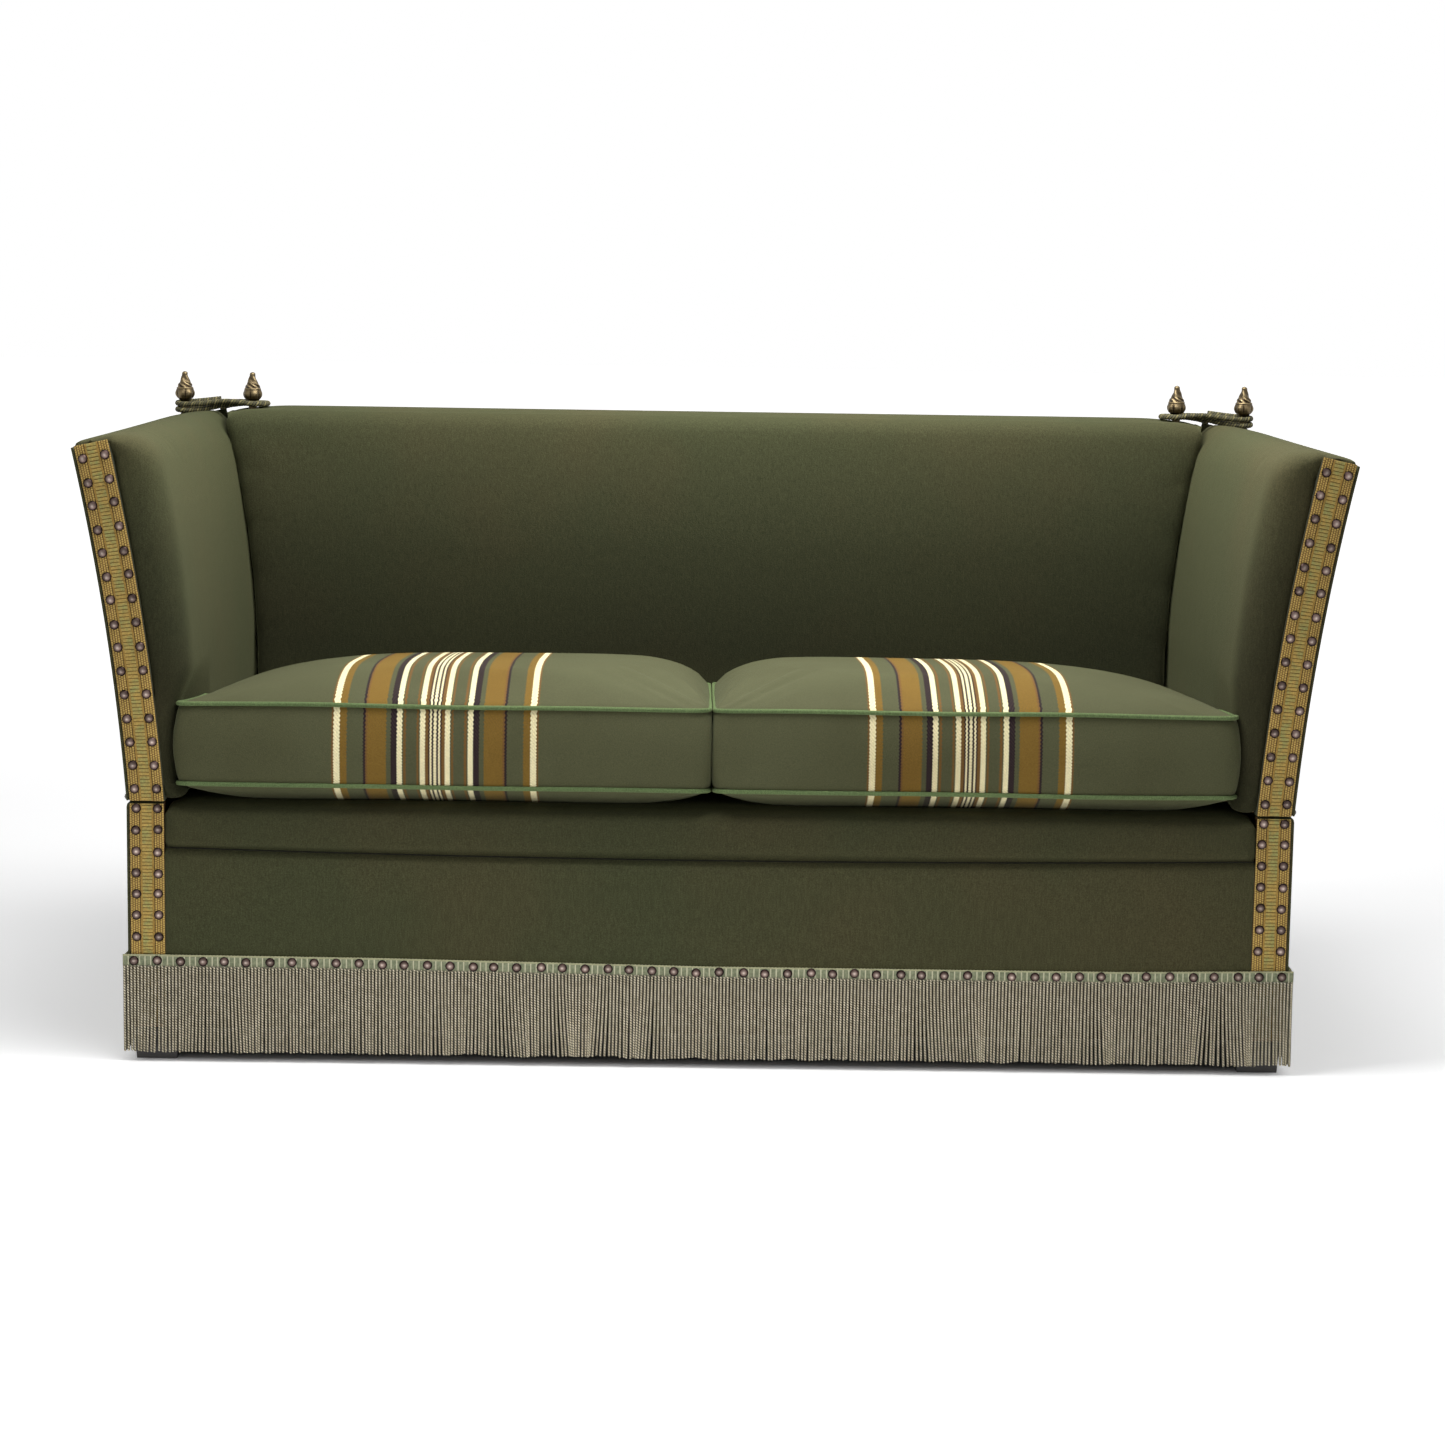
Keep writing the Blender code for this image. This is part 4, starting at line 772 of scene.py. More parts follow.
def make_arm_pad(side, sx):
    pad = copy_of(side + "_arm_pad", side + "_arm_cloth")
    points = points_of(pad)
    rise, inward = arm_measure(points, sx)
    lip = (inward < 0.055) & (rise > 0.455) & (rise < 0.4745)
    points[lip, 2] -= 0.012
    points[lip, 1] = np.maximum(points[lip, 1], -0.372)
    hem = (inward < 0.056) & (points[:, 1] < -0.36) & (rise < 0.455)
    points = arm_shift(points, sx, np.where(hem, -0.007, 0.0))
    points[hem, 1] = np.maximum(points[hem, 1], -0.3812)
    set_points(pad, points)
    stuffed(pad, 0.0065, 0.0005, 0.0030, rounds=8)

    points = points_of(pad)
    rise, inward = arm_measure(points, sx)
    edge = ramp_up(points[:, 1], -0.29, -0.05) * ramp_up(inward, 0.056, 0.008)
    edge *= ramp_up(rise, 0.008, 0.03)
    softer = pad.vertex_groups.new(name="edge")
    for share in (0.2, 0.4, 0.6, 0.8, 1.0):
        softer.add(np.nonzero(edge >= share)[0].tolist(), share, "REPLACE")
    modify(pad, "SMOOTH", factor=0.6, iterations=36, vertex_group="edge")
    pad.vertex_groups.clear()

    points = points_of(pad)
    rise, inward = arm_measure(points, sx)
    front = ramp_up(points[:, 1], -0.20, -0.12)
    dent = (0.003 + (FLARE[sx] - 0.001) * front) * ease_in(ramp_up(rise, 0.170, -0.06))
    dent *= ramp_up(inward, 0.050, 0.02) * (0.35 + 0.65 * ramp_up(rise, 0.003, 0.02))
    points = arm_shift(points, sx, -dent)
    shoulder = ramp_up(inward, 0.076, 0.031) ** 2 * ramp_up(rise, 0.40, 0.07)
    points[:, 2] -= 0.015 * ease_in(ramp_up(points[:, 1], -0.05, 0.30)) * shoulder
    set_points(pad, points)
    dressed(pad, side + "_arm", ARM_WOOL, side + "_arm_pad")


for side, sx in SIDES:
    make_arm_pad(side, sx)

back = copy_of("inside_back_pad", "inside_back_cloth")
stuffed(back, 0.0080, 0.0005, 0.0030, rounds=3)
points = points_of(back)
past = ramp_up(np.abs(points[:, 0]), 0.70, 0.035)
points[:, 0] += np.sign(points[:, 0]) * 0.0028 * past
points[:, 2] -= 0.005 * past ** 2 * ramp_up(points[:, 2], 0.78, 0.05)
set_points(back, points)
dressed(back, "frame", BACK_WOOL, "inside_back_pad")

SEAM_HEIGHT = 0.288


def settled(points):
    """Lowers the seam in the middle of the front and lifts it at the ends."""
    share = np.abs(points[:, 0]) / SIDE
    sag = 0.0050 * share ** 2 - 0.0042 * (1 - share ** 2)
    near = np.exp(-((points[:, 2] - SEAM_HEIGHT) / 0.022) ** 2)
    moved = points.copy()
    moved[:, 2] += sag * near * ramp_up(points[:, 1], -0.33, -0.04)
    return moved


seat = copy_of("seat_platform", "seat_cloth")
stuffed(seat, 0.0085, 0.0005, 0.0022)
points = settled(points_of(seat))
front = ramp_up(points[:, 1], -0.35, -0.02)
fold = points[:, 2] - SEAM_HEIGHT
points[:, 1] += front * np.clip(1 - fold / 0.007, 0, 1) ** 2 * 0.006
points[:, 1] -= front * 0.0015 * np.exp(-((fold - 0.014) / 0.010) ** 2)
points[:, 0] += np.sign(points[:, 0]) * 0.0035 * ramp_up(np.abs(points[:, 0]), 0.715, 0.012)
set_points(seat, points)
dressed(seat, "frame", WOOL, "seat_platform")

# A thin near-black cord along the seam's crease: a painted shadow of its hollow.
steps = np.linspace(-0.7290, 0.7290, 120)
line = settled(np.column_stack([steps, np.full(120, -FRONT + 0.0016),
                                np.full(120, SEAM_HEIGHT - 0.0006)]))
dressed(round_cord("seat_crease_shadow", line, 0.0011, closed=False), "frame", CREASE_SHADOW,
        "seat_platform")

# %% [markdown]
# ## Tight panels
#
# The border below the seam, the base's sides, the outside back and the arms' outsides are single
# panels of wool over thin wadding. Each starts as a flat grid that is laid on its place, swells
# by a millimetre or two between its edges, and gets its thickness from a Solidify modifier. The
# dust cloth under the base is cut out round the four feet.

# %% Tight panels
def panel(name, columns, rows, lay, thickness, body, node):
    """lay turns the grid's u and v into places; the cloth's face points away from the frame."""
    piece = grid(name, columns, rows)
    u, v, _ = points_of(piece).T
    set_points(piece, lay(u, v))
    modify(piece, "SOLIDIFY", thickness=thickness, offset=-1)
    modify(piece, "BEVEL", width=thickness * 0.3, segments=2, limit_method="ANGLE",
           angle_limit=math.radians(50))
    dressed(piece, body, WOOL, node, smooth=40)


def swell(u, v, height):
    return height * (np.sin(math.pi * u) * np.sin(math.pi * v)) ** 0.5


PANEL_SIDE, PANEL_FRONT = 0.7302, -0.3837
CLOTH_FOOT = 0.0455
BASE_CLIMB, BASE_FOLD = 0.3505 - CLOTH_FOOT, 0.046
COVER_TOP, TURN_ROUND, RETURN = 0.4738, 0.7687, 0.095


def lay_border(u, v):
    x = PANEL_SIDE * (2 * u - 1)
    z = CLOTH_FOOT + (SEAM_HEIGHT - 0.0018 - CLOTH_FOOT) * v
    y = -FRONT + 0.0012 - swell(u, v, 0.0022) + 0.0070 * ramp_up(v, 0.94, 0.06) ** 2
    return settled(np.column_stack([x, y, z]))


def lay_base_side(sx):
    def lay(u, v):
        climb = v * (BASE_CLIMB + BASE_FOLD)
        over = np.clip(climb - BASE_CLIMB, 0, None)
        y = PANEL_FRONT + (FRAME_FRONT - 0.0002 - PANEL_FRONT) * (u if sx > 0 else 1 - u)
        puff = swell(u, np.clip(climb / BASE_CLIMB, 0, 1), 0.0030)
        x = np.where(over > 0, SIDE - over, SIDE - 0.0010 + puff)
        z = CLOTH_FOOT + np.minimum(climb, BASE_CLIMB) - np.where(over > 0, 0.0003, 0)
        return np.column_stack([sx * x, y, z])
    return lay


def lay_arm_side(sx):
    def lay(u, v):
        rise = COVER_TOP * v
        along = (u if sx > 0 else 1 - u) * (TURN_ROUND + RETURN)
        past = np.clip(along - TURN_ROUND, 0, None) / RETURN
        y = np.minimum(PANEL_FRONT + along, FRONT)
        puff = swell(np.clip(along / TURN_ROUND, 0, 1), v, 0.0036) * (past <= 0)
        puff = puff * np.sin(math.pi * v) ** 0.5
        reach = arm_thickness(rise) - 0.0122
        x, z = arm_place(rise, reach * past + 0.0010 * (past <= 0) - puff)
        return np.column_stack([sx * x, y - 0.0003, z])
    return lay


panel("front_border_cloth", 160, 60, lay_border, 0.003, "frame", "front_border")
for side, sx in SIDES:
    panel(side + "_base_side_cloth", 90, 48, lay_base_side(sx), 0.0028, "frame",
          side + "_side_cover")
    panel(side + "_arm_side_cloth", 110, 60, lay_arm_side(sx), 0.0028, side + "_arm",
          side + "_arm_outside_cover")

outside = copy_of("outside_back_cover", "outside_back_cloth")
start_editing(outside)
bpy.ops.mesh.dissolve_limited(angle_limit=math.radians(1))
stop_editing()
modify(outside, "BEVEL", width=0.0012, segments=3)
dressed(outside, "frame", WOOL, "outside_back_cover", smooth=40)

CLOTH_X, CLOTH_Y = (0.7125, 0.7635), (0.316, 0.367)
under = grid("dust_cloth", 60, 30)
flat = points_of(under)
x = np.interp(flat[:, 0], [0, 1 / 30, 29 / 30, 1],
              [-CLOTH_X[1], -CLOTH_X[0], CLOTH_X[0], CLOTH_X[1]])
y = np.interp(flat[:, 1], [0, 1 / 15, 14 / 15, 1],
              [-CLOTH_Y[1], -CLOTH_Y[0], CLOTH_Y[0], CLOTH_Y[1]])
u = np.clip(x / CLOTH_X[0] / 2 + 0.5, 0, 1)
v = np.clip(y / CLOTH_Y[0] / 2 + 0.5, 0, 1)
set_points(under, np.column_stack([x, y, 0.0444 - swell(u, v, 0.004)]))
start_editing(under, "DESELECT")
bpy.ops.mesh.select_mode(type="FACE")
stop_editing()
for face in under.data.polygons:
    face.select = abs(face.center.x) > CLOTH_X[0] and abs(face.center.y) > CLOTH_Y[0]
bpy.ops.object.mode_set(mode="EDIT")
bpy.ops.mesh.delete(type="FACE")
bpy.ops.mesh.select_mode(type="VERT")
stop_editing()
modify(under, "SOLIDIFY", thickness=0.0008, offset=0)
outward(under)
dressed(under, "frame", LINING, "dust_cover")

# %% [markdown]
# ## Braid
#
# The braid is a flat woven band: fine cords run along both borders, and a ribbed ground lies
# between them. The relief is real, because the nails throw small shadows on it and its edge
# shows. A grid is raised by that pattern, then wrapped on the arm's front. Its material reads the
# grid's own UV map, so ribs and colours agree.

# %% Braid
BRAID_WIDTH, BRAID = 0.046, 0.003
RIB, CORDS = 0.0048, 44.0
RAIL_START = 0.215
FACE = -FRAME_FRONT - 0.0003 - BRAID


def braid_material():
    made = Finish("ochre_braid", Roughness=0.85, Specular_IOR_Level=0.2, Sheen_Weight=0.1)
    calc = made.math
    across, along = made.uv()
    middle = calc("ABSOLUTE", calc("SUBTRACT", across, 0.5))
    cords = made.wave(middle, CORDS)
    rungs = made.wave(along, math.pi / RIB)
    number = calc("FLOOR", calc("MULTIPLY", middle, CORDS / math.pi))
    beads = made.wave(along, math.pi / 0.0031, calc("MULTIPLY", number, math.pi / 2))
    picks = made.wave(along, math.pi / 0.0016)
    place = made.coordinate()
    tone, patch = made.noise(place, 420, 2.0, 0.6), made.noise(place, 60, 2.0, 0.6)
    ladder = made.mix(calc("LESS_THAN", rungs, 0.34),
                      made.ramp(patch, (0.42, "b29653"), (0.62, "98965c")), "5f4e26")
    plain = made.mix(calc("MULTIPLY", picks, 0.6), "8a6d35", "ba9850")
    rail = made.mix(beads, "7c602c", "c4a75f")
    rail = made.mix(calc("LESS_THAN", cords, 0.40), rail, "5a3c24")
    both = made.mix(calc("GREATER_THAN", middle, 0.140), ladder, plain)
    both = made.mix(calc("GREATER_THAN", middle, RAIL_START), both, rail)
    line = calc("LESS_THAN", calc("ABSOLUTE", calc("SUBTRACT", middle, 0.212)), 0.012)
    both = made.times(made.mix(line, both, "453019"), made.ramp(tone, (0.3, 0.74), (0.7, 1.14)))
    slow = made.ramp(made.noise(place, 9, 3.0), (0.3, (0.88, 0.88, 0.86)),
                     (0.7, (1.10, 1.08, 1.04)))
    made.set(Base_Color=made.times(both, slow))
    made.bump(tone, 0.0004, 0.5)
    return made.look


BRAID_YARN = braid_material()


def make_braid(name, length, sx, standing, body, node):
    """standing gives X and Z for lengths along the band and in from the sofa's side."""
    piece = grid(name, 54, int(length / 0.0009))
    u, v, _ = points_of(piece).T
    middle = np.abs(u - 0.5)
    cords = 0.00055 * np.abs(np.sin(CORDS * middle))
    ribs = 0.00050 * np.abs(np.sin(math.pi * v * length / RIB))
    out = np.where(middle > RAIL_START, cords, ribs) * np.clip((0.5 - middle) / 0.03, 0, 1) ** 0.5
    across = u * BRAID_WIDTH
    x, z = standing(v * length, 0.005 + (BRAID_WIDTH - across if sx > 0 else across))
    set_points(piece, np.column_stack([sx * x, FACE + 0.0006 - out, z]))
    uv_in_metres(piece, 1, length)
    modify(piece, "SOLIDIFY", thickness=0.0018, offset=-1)
    dressed(piece, body, BRAID_YARN, node)


def base_place(along, inward):
    return SIDE - inward, 0.050 + along


for side, sx in SIDES:
    make_braid(side + "_arm_band", 0.4750, sx, arm_place, side + "_arm", side + "_arm_braid")
    make_braid(side + "_base_band", 0.3000, sx, base_place, "frame", side + "_base_braid")

# %% [markdown]
# ## Domed nails
#
# One nail is half a sphere, pressed flat and turned under at its rim. All the others are copies,
# each tilted by a degree or two, because a hammer never sets two alike. Each point carries how near
# the rim it lies: the bronze is painted bright on the dome, a painted highlight, and dark towards
# the rim, painted shade.

# %% Domed nails
CUT = 0.18


def model_nail():
    bpy.ops.object.select_all(action="DESELECT")
    bpy.ops.mesh.primitive_uv_sphere_add(segments=12, ring_count=8, radius=1)
    nail = bpy.context.object
    start_editing(nail)
    bpy.ops.mesh.bisect(plane_co=(0, 0, CUT), plane_no=(0, 0, 1), clear_inner=True,
                        use_fill=True)
    stop_editing()
    shape = points_of(nail)
    shape[:, 2] = (shape[:, 2] - CUT) / (1 - CUT) * 0.0036
    shape[:, :2] *= 0.0067 / np.abs(shape[:, :2]).max()
    faces = [tuple(face.vertices) for face in nail.data.polygons]
    bpy.data.objects.remove(nail, do_unlink=True)
    return shape, faces


def nail_metal():
    """Bronze painted bright on the dome, a painted highlight, and dark at its rim, painted shade;
    no two are worn alike.
    """
    made = Finish("nail_bronze", Metallic=1.0)
    rim = made.node("Attribute")
    rim.attribute_name = "rim"
    worn = made.noise(made.coordinate(), 38, 0.0)
    # Painted highlight on the dome and painted shade towards its rim.
    dome = made.ramp(rim.outputs["Fac"], (0.0, "9c8e86"), (0.30, "74665f"), (0.55, "5c4d48"),
                     (0.80, "3b2e2b"), (0.92, "120d0c"))
    made.set(Base_Color=made.times(dome, made.ramp(worn, (0.3, 0.55), (0.7, 1.25))),
             Roughness=made.math("ADD", 0.20, made.math("MULTIPLY", worn, 0.25)))
    made.bump(made.noise(made.coordinate(), 700), 0.0004, 0.5)
    return made.look


NAIL_METAL = nail_metal()
nail_shape, nail_faces = model_nail()


def nail_frames(places, seed):
    """Frames for heads that look along -Y, each tilted a little."""
    waver = np.random.default_rng(seed)
    frames = []
    for place in places:
        tilt = Matrix.Rotation(waver.normal(0, 0.05), 4, "X") @ Matrix.Rotation(
            waver.normal(0, 0.05), 4, "Y")
        off = Vector((waver.normal(0, 0.0004), 0, waver.normal(0, 0.0005)))
        frames.append(Matrix.Translation(Vector(place) + off) @ Matrix.Rotation(
            math.radians(90), 4, "X") @ tilt)
    return frames


def nail_row(name, frames, body, node):
    nails = from_arrays(name, np.concatenate([moved_by(nail_shape, home) for home in frames]),
                        copies(nail_faces, len(frames), len(nail_shape)))
    rim = np.hypot(nail_shape[:, 0], nail_shape[:, 1])
    mark(nails, "rim", np.tile(rim / rim.max(), len(frames)))
    dressed(nails, body, NAIL_METAL, node)


NAIL_FACE = FACE + 0.0001
for side, sx in SIDES:
    spots = []
    for inward in (0.0135, 0.0425):
        for i in range(15):
            x, z = arm_place(0.016 + 0.0315 * i, inward)
            spots.append((sx * x, NAIL_FACE, z))
    nail_row(side + "_arm_nails", nail_frames(spots, 11 + sx), side + "_arm",
             side + "_arm_braid")
    spots = [(sx * x, NAIL_FACE, 0.3435 - 0.029 * i) for x in (0.7680, 0.7390) for i in range(7)]
    nail_row(side + "_base_nails", nail_frames(spots, 21 + sx), "frame", side + "_base_braid")

# %% [markdown]
# ## Bullion fringe
#
# The fringe has a narrow woven heading and a skirt of twisted strands that hang side by side.
# There are more than a thousand strands, so one is kept to a few dozen faces, and the twist is
# painted along its length, with painted shade in the hollows of the twist and on each strand's
# sides, where its neighbours would shade it. Neighbours lean together and part here and there,
# which comes from a slow random drift with a small one on top.

# %% Bullion fringe
FRINGE_TOP, HEADING_FOOT = 0.1455, 0.1295
STRAND_PITCH, STRAND_RADIUS, STRAND_SIDES = 0.00462, 0.00190, 8
PLY_LENGTH = 0.0036


def strand_material():
    made = Finish("bullion_strand", Roughness=0.75, Specular_IOR_Level=0.3, Sheen_Weight=0.1)
    calc = made.math
    around, down = made.uv()
    turns = calc("ADD", calc("MULTIPLY", around, 2.0), calc("MULTIPLY", down, 1 / PLY_LENGTH))
    ply = made.wave(turns, math.pi)
    light = made.ramp(made.noise(made.coordinate(), 130), (0.35, "d8cdad"), (0.65, "f6ebcc"))
    # Painted shade in the hollows of the twist, and on the strand's sides where its neighbours
    # would shade it.
    groove_shade = calc("MULTIPLY", calc("SUBTRACT", 1.0, ply, True), 1.15, True)
    flank_shade = made.node("Attribute")
    flank_shade.attribute_name = "flank_shade"
    made.set(Base_Color=made.mix(calc("MULTIPLY", flank_shade.outputs["Fac"], 0.95),
                                 made.mix(groove_shade, light, "2c2315"), "120e08"))
    made.bump(ply, 0.0007, 0.9)
    return made.look


def heading_material():
    made = Finish("fringe_heading", Roughness=0.85, Specular_IOR_Level=0.25)
    calc = made.math
    along, up = made.uv()
    bars = calc("LESS_THAN", made.wave(along, math.pi / 0.0075), 0.30)
    fine = made.wave(along, math.pi / 0.0015)
    green = made.ramp(made.noise(made.coordinate(), 240), (0.35, "727860"), (0.65, "8f9377"))
    base = made.mix(bars, green, "cfcbad")
    base = made.mix(calc("GREATER_THAN", up, 0.88), base, "a8a683")
    valley = calc("MULTIPLY", calc("SUBTRACT", 1.0, fine), 0.5)
    made.set(Base_Color=made.mix(valley, base, "6a7052"))
    made.bump(fine, 0.0004, 0.6)
    return made.look


STRAND_YARN, HEADING_YARN = strand_material(), heading_material()


def model_strand(sides=STRAND_SIDES, rows=4):
    """A hanging strand of unit length, pointing down, with a rounded end."""
    levels = [(i / rows, 1.0) for i in range(rows)] + [(0.985, 0.95), (1.0, 0.55)]
    turns = [2 * math.pi * k / sides for k in range(sides)]
    shape = [(girth * math.cos(turn), girth * math.sin(turn), -drop)
             for drop, girth in levels for turn in turns]
    faces = []
    for ring in range(len(levels) - 1):
        for k in range(sides):
            a, b = ring * sides + k, ring * sides + (k + 1) % sides
            faces.append((a + sides, b + sides, b, a))
    last = (len(levels) - 1) * sides
    faces.append(tuple(last + k for k in reversed(range(sides))))
    faces.append(tuple(range(sides)))
    return np.array(shape), faces


strand_shape, strand_faces = model_strand()


def drift(count, seed, span):
    """A slow random waver along a run, smoothed over a few neighbours."""
    raw = np.random.default_rng(seed).normal(0, 1, count + 8 * span)
    window = np.hanning(2 * span + 1)
    slow = np.convolve(raw, window / window.sum(), "same")[4 * span:4 * span + count]
    return slow / max(1e-9, slow.std())


def make_skirt(name, length, lay, node, seed):
    """Strands along a run; lay(along, out, z) gives the places on the sofa."""
    count = int(length / STRAND_PITCH)
    waver = np.random.default_rng(seed)
    along = (np.arange(count) + 0.5) / count * length - length / 2
    slow = drift(count, seed, 9)
    sway = np.clip(0.0009 * slow ** 3 + 0.0004 * waver.normal(0, 1, count), -0.006, 0.006)
    swing = np.clip(0.0009 * drift(count, seed + 1, 5) + 0.0003 * waver.normal(0, 1, count),
                    -0.0012, 0.0022)
    drop = 0.1178 + 0.0007 * drift(count, seed + 2, 6) + 0.0005 * waver.normal(0, 1, count)
    drop = np.clip(drop, 0.1150, 0.1192)
    start = waver.uniform(0, 1, count)
    share = -strand_shape[:, 2]
    bend = share ** 1.6
    spots = [lay(along[n] + STRAND_RADIUS * strand_shape[:, 0] + sway[n] * bend,
                 0.0034 + STRAND_RADIUS * strand_shape[:, 1] + swing[n] * bend,
                 HEADING_FOOT + 0.0012 - drop[n] * share) for n in range(count)]
    size = len(strand_shape)
    piece = from_arrays(name, np.concatenate(spots), copies(strand_faces, count, size))
    corner = np.array([i for face in strand_faces for i in face])
    turn = (corner % STRAND_SIDES) / STRAND_SIDES
    # The last face of each ring closes the turn, so its far corners count a full turn more.
    quads = 4 * (len(strand_faces) - 2)
    ring = turn[:quads].reshape(-1, 4)
    ring += (np.ptp(ring, axis=1)[:, None] > 0.6) & (ring < 0.3)
    layer = piece.data.uv_layers.new(name="strand")
    layer.data.foreach_set("uv", np.stack([start[:, None] + turn, drop[:, None] * share[corner]],
                                          axis=2).ravel())
    # How far round to either side each point lies, read by the material for painted shade on the
    # strand's sides.
    mark(piece, "flank_shade", np.tile(ramp_up(np.abs(strand_shape[:, 0]), 0.38, 0.55), count))
    outward(piece)
    dressed(piece, "frame", STRAND_YARN, node, smooth=60)
    return count


def make_heading(name, length, lay, node):
    piece = grid(name, int(length / 0.0011), 12)
    u, v, _ = points_of(piece).T
    along = (u - 0.5) * length
    rib = 0.00035 * np.abs(np.sin(math.pi * along / 0.0023))
    loops = 0.0006 * np.abs(np.sin(math.pi * along / 0.0046)) * (v > 0.99)
    z = HEADING_FOOT - 0.001 + (FRINGE_TOP - HEADING_FOOT + 0.001) * v + loops
    set_points(piece, lay(along, 0.0029 + rib - 0.0008 * np.abs(2 * v - 1) ** 6, z))
    uv_in_metres(piece, 0, length)
    modify(piece, "SOLIDIFY", thickness=0.0022, offset=-1)
    outward(piece)
    dressed(piece, "frame", HEADING_YARN, node)


def front_run(along, out, z):
    """The front's heading was nailed on by eye: it dips a little right of its left end."""
    dip = np.interp(along, [-0.787, -0.45, 0.0, 0.55, 0.787], [0, 0.001, 0.0066, 0.0066, 0.0025])
    return np.column_stack([along, -FRONT - out, z - dip * np.clip(z / FRINGE_TOP, 0, 1) ** 2])


def rear_run(along, out, z):
    return np.column_stack([-along, FRONT + out, z])


def side_run(sx):
    def lay(along, out, z):
        return np.column_stack([sx * (SIDE + out), sx * along, z])
    return lay


def fringe_nails(node, length, lay, seed, turn):
    waver = np.random.default_rng(seed + 7)
    count = round(length / 0.030)
    spots = [lay(np.array([length * ((i + 0.5) / count - 0.5) + waver.uniform(-0.0018, 0.0018)]),
                 np.array([0.0031]),
                 np.array([(FRINGE_TOP + HEADING_FOOT) / 2 + waver.uniform(-0.0008, 0.0008)]))[0]
             for i in range(count)]
    aim = Matrix.Rotation(math.radians(turn), 4, "Z")
    frames = [Matrix.Translation(place) @ aim @ Matrix.Translation(-Vector(place)) @ tilted
              for place, tilted in zip(spots, nail_frames(spots, seed + 5))]
    nail_row(node + "_nails", frames, "frame", node)


RUNS = [("front_fringe", 1.574, front_run, 31, 0), ("rear_fringe", 1.574, rear_run, 41, None),
        ("left_fringe", 0.768, side_run(-1), 51, -90), ("right_fringe", 0.768, side_run(1), 61, 90)]
strands = 0
for node, length, lay, seed, turn in RUNS:
    strands += make_skirt(node + "_strands", length, lay, node, seed)
    make_heading(node + "_heading", length, lay, node)
    if turn is not None:
        fringe_nails(node, length, lay, seed, turn)
print(strands, "strands")

# %% [markdown]
# ## Cast finials
#
# The finials are cast brass: a foot, a neck for the rope, a ring of fat lobes, a band of scrolls
# and a fluted spire with a small knob. An edge profile is spun into a round body, and the lobes
# and scrolls are pressed into it by moving its points in and out with the turn and the height.

# %% Cast finials
def brass():
    made = Finish("old_brass", Metallic=1.0)
    hollow = made.node("NewGeometry").outputs["Pointiness"]
    worn = made.math("MULTIPLY", made.math("SUBTRACT", hollow, 0.475, True), 8.0, True)
    patches = made.noise(made.coordinate(), 240, 3.0, 0.6)
    spread = made.math("ADD", 0.55, made.math("MULTIPLY", patches, 0.7))
    made.set(Base_Color=made.mix(made.math("MULTIPLY", worn, spread, True), "2b2219", "a3916c"),
             Roughness=made.math("ADD", 0.28, made.math("MULTIPLY", patches, 0.25)))
    made.bump(patches, 0.0002, 0.3)
    return made.look


OLD_BRASS = brass()
FINIAL_SEAT, FINIAL_HEIGHT = 0.8288, 0.0712
FINIAL_X, FINIAL_Y, FINIAL_SPAN = 0.712, 0.355, 0.104
PROFILE = [(0.0100, 0.0), (0.0100, 0.0034), (0.0085, 0.0046), (0.0064, 0.0064), (0.0062, 0.025),
           (0.0088, 0.0278), (0.0120, 0.0306), (0.0138, 0.0346), (0.0142, 0.0386),
           (0.0132, 0.0426), (0.0118, 0.0458), (0.0107, 0.0484), (0.0101, 0.0506),
           (0.0086, 0.0536), (0.0071, 0.0570), (0.0058, 0.0604), (0.0048, 0.0636),
           (0.0043, 0.0660), (0.0045, 0.0680), (0.0036, 0.0698), (0.0018, 0.0708),
           (0.0, FINIAL_HEIGHT)]


def band(z, middle, reach):
    """One at a height, fading to nought within about twice this reach."""
    return np.exp(-((z - middle) / reach) ** 2)


def model_finial():
    heights = np.linspace(0, FINIAL_HEIGHT, 72)
    radii = np.interp(heights, [z for _, z in PROFILE], [r for r, _ in PROFILE])
    edge = [(0, 0, 0)] + [(r, 0, z) for r, z in zip(radii, heights)]
    piece = from_arrays("finial_pattern", edge, [], [(i, i + 1) for i in range(len(heights))])
    start_editing(piece)
    bpy.ops.mesh.spin(steps=60, angle=2 * math.pi, center=(0, 0, 0), axis=(0, 0, 1))
    bpy.ops.mesh.select_all(action="SELECT")
    bpy.ops.mesh.remove_doubles(threshold=0.00002)
    bpy.ops.mesh.normals_make_consistent(inside=False)
    stop_editing()
    shape = points_of(piece)
    turn, z = np.arctan2(shape[:, 1], shape[:, 0]), shape[:, 2]
    relief = (np.abs(np.cos(3 * turn)) ** 0.7 - 0.6) * band(z, 0.0362, 0.0058) * 0.0024
    relief += np.sin(6 * turn + (z - 0.049) * 900) * band(z, 0.0500, 0.0034) * 0.0010
    relief += np.cos(3 * turn + (z - 0.053) * 260) * band(z, 0.0590, 0.0055) * 0.0010
    relief += band(z, 0.0456, 0.0009) * 0.0011
    far = np.hypot(shape[:, 0], shape[:, 1])
    grown = np.maximum(0, far + relief * (far > 0.001))
    shape[:, :2] *= (grown / np.maximum(far, 1e-9))[:, None]
    set_points(piece, shape)
    return piece


finial_pattern = model_finial()
for side, sx in SIDES:
    for node, x, body, turn in (
            (side + "_back_finial", FINIAL_X, "frame", 12),
            (side + "_arm_finial", FINIAL_X + FINIAL_SPAN, side + "_arm", 31)):
        piece = finial_pattern.copy()
        piece.data = finial_pattern.data.copy()
        piece.name = node + "_cast"
        bpy.context.collection.objects.link(piece)
        piece.data.transform(Matrix.Translation((sx * x, FINIAL_Y, FINIAL_SEAT)) @
                             Matrix.Rotation(math.radians(turn + 20 * sx), 4, "Z"))
        dressed(piece, body, OLD_BRASS, node)
bpy.data.objects.remove(finial_pattern, do_unlink=True)
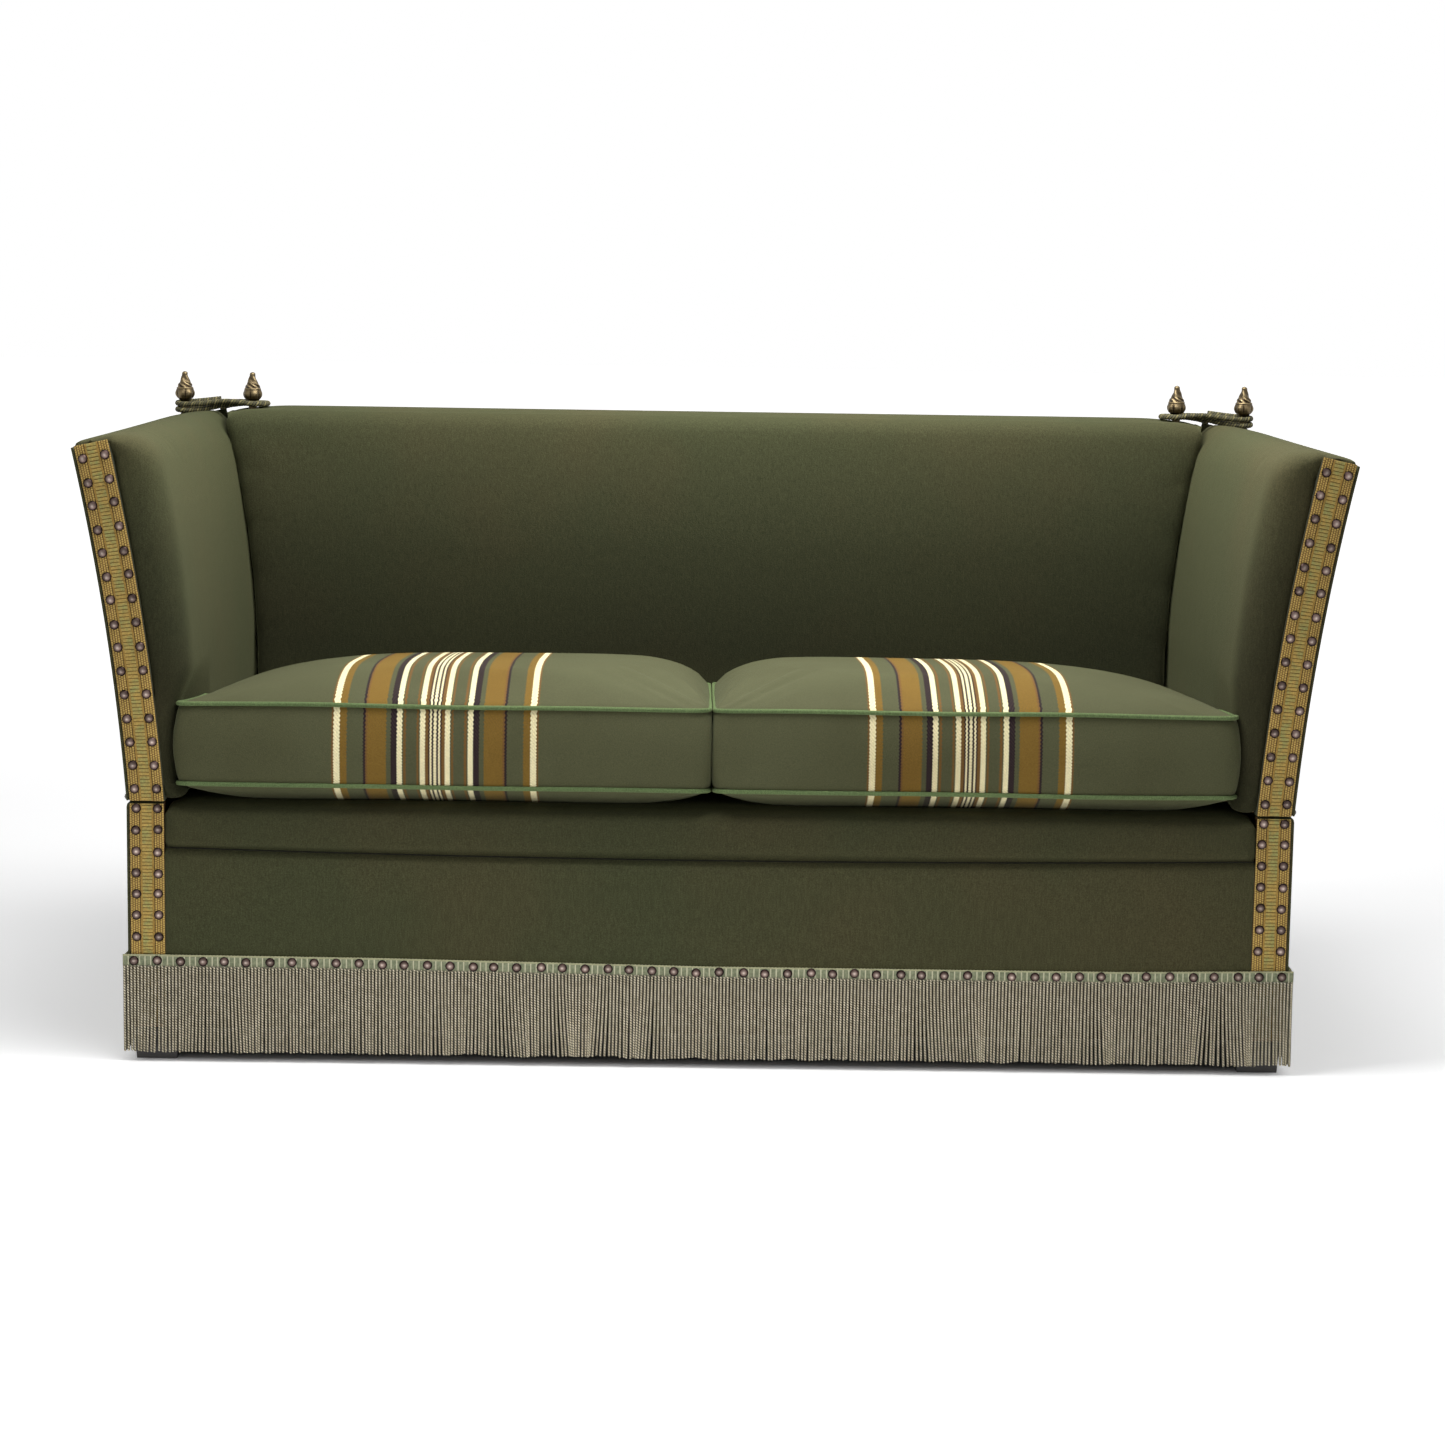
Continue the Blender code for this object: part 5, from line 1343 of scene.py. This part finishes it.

# %% [markdown]
# ## The ropes
#
# Each rope is three strands twisted together, in olive and gold. It goes twice round the two
# finials, stacked at the arm and side by side on the back. The tube's section has three lobes
# that turn along its length, so it is written out ring by ring, which no bevelled curve can do.

# %% The ropes
ROPE, ROPE_TWIST, COIL = 0.0085, 0.0126, 0.0095
BACK_Z, ARM_Z = 0.8520, 0.8345


def rope_route(sx, steps=360, bend=8.0, run=4.0):
    """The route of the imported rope, with more points: slot shapes round both finials."""
    core = 0.0065 + ROPE / 2 + 0.0005
    route = []
    for i in range(steps * 2 + 1):
        turn = i / steps
        step = (turn % 1.0) * 2 * (bend + run)
        middle, angle = FINIAL_SPAN / 2, None
        if step < run / 2:
            x, edge = FINIAL_SPAN * (0.5 - step / run), 1
        elif step < run / 2 + bend:
            middle, angle = 0, math.pi * ((step - run / 2) / bend + 0.5)
        elif step < 1.5 * run + bend:
            x, edge = FINIAL_SPAN * (step - run / 2 - bend) / run, -1
        elif step < 1.5 * run + 2 * bend:
            middle, angle = FINIAL_SPAN, math.pi * ((step - 1.5 * run - bend) / bend - 0.5)
        else:
            x, edge = FINIAL_SPAN * (1 - (step - 1.5 * run - 2 * bend) / run), 1
        near_arm = (x if angle is None else middle) / FINIAL_SPAN
        climb = math.pi / 2 * near_arm
        radius = core + COIL * turn * math.cos(climb)
        z = BACK_Z + (ARM_Z - BACK_Z) * ease_in(max(0, near_arm - 0.3) / 0.7)
        z += COIL * turn * math.sin(climb) - 0.0045 * math.sin(math.pi * near_arm) ** 2
        if angle is None:
            y = edge * radius
        else:
            x, y = middle + radius * math.cos(angle), radius * math.sin(angle)
        route.append((sx * (FINIAL_X + x), FINIAL_Y + y, z))
    return np.array(route)


def rope_material():
    made = Finish("twisted_rope", Roughness=0.7, Specular_IOR_Level=0.35, Sheen_Weight=0.1)
    calc = made.math
    around, along = made.uv()
    base = made.ramp(calc("FRACT", around), (0.0, "464328"), (0.33, "7a7248"), (0.66, "5b5631"),
                     constant=True)
    third = calc("FRACT", calc("MULTIPLY", around, 3.0))
    aside = calc("ABSOLUTE", calc("SUBTRACT", third, 0.5))
    # Painted shade in the hollows between the three strands.
    groove_shade = calc("MULTIPLY", calc("SUBTRACT", aside, 0.22, True), 6.0, True)
    base = made.mix(groove_shade, base, "0f0e08")
    fibres = calc("SINE", calc("ADD", calc("MULTIPLY", around, 60.0),
                               calc("MULTIPLY", along, 3600.0)))
    shade = calc("ADD", 0.85, calc("MULTIPLY", fibres, 0.22))
    made.set(Base_Color=made.times(base, made.ramp(shade, (0.5, 0.5), (1.0, 1.25))))
    made.bump(fibres, 0.0003, 0.5)
    return made.look


ROPE_YARN = rope_material()


def rope_tube(name, route, around=18):
    """A tube whose section has three lobes, turned with the distance along the route."""
    steps = np.linalg.norm(np.diff(route, axis=0), axis=1)
    run = np.concatenate([[0], np.cumsum(steps)])
    ahead = np.gradient(route, run, axis=0)
    ahead /= np.linalg.norm(ahead, axis=1)[:, None]
    side = np.cross(ahead, (0, 0, 1.0))
    side /= np.linalg.norm(side, axis=1)[:, None]
    lift = np.cross(side, ahead)
    turn = 2 * math.pi * np.arange(around) / around
    lobe = np.abs(np.cos(1.5 * (turn - 2 * math.pi * run[:, None] / ROPE_TWIST)))
    reach = ROPE / 2 * (0.76 + 0.24 * lobe ** 0.8)
    points = route[:, None] + reach[..., None] * (
        np.cos(turn)[:, None] * side[:, None] + np.sin(turn)[:, None] * lift[:, None])
    corners = [((i, k), (i, k + 1), (i + 1, k + 1), (i + 1, k))
               for i in range(len(route) - 1) for k in range(around)]
    corners.append([(0, k) for k in reversed(range(around))])
    corners.append([(len(route) - 1, k) for k in range(around)])
    piece = from_arrays(name, points.reshape(-1, 3), [
        tuple(i * around + k % around for i, k in face) for face in corners])
    uv = [(k / around - run[i] / ROPE_TWIST + 1 / 6, run[i]) for face in corners for i, k in face]
    piece.data.uv_layers.new(name="rope").data.foreach_set("uv", np.array(uv).ravel())
    start_editing(piece)
    bpy.ops.mesh.normals_make_consistent(inside=False)
    stop_editing()
    return piece, run[-1]


for side, sx in SIDES:
    route = rope_route(sx)
    rope, length = rope_tube(side + "_arm_rope", route)
    dressed(rope, None, ROPE_YARN, side + "_rope")
    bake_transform(rope)
    print(side, "rope", round(length, 3), "m")
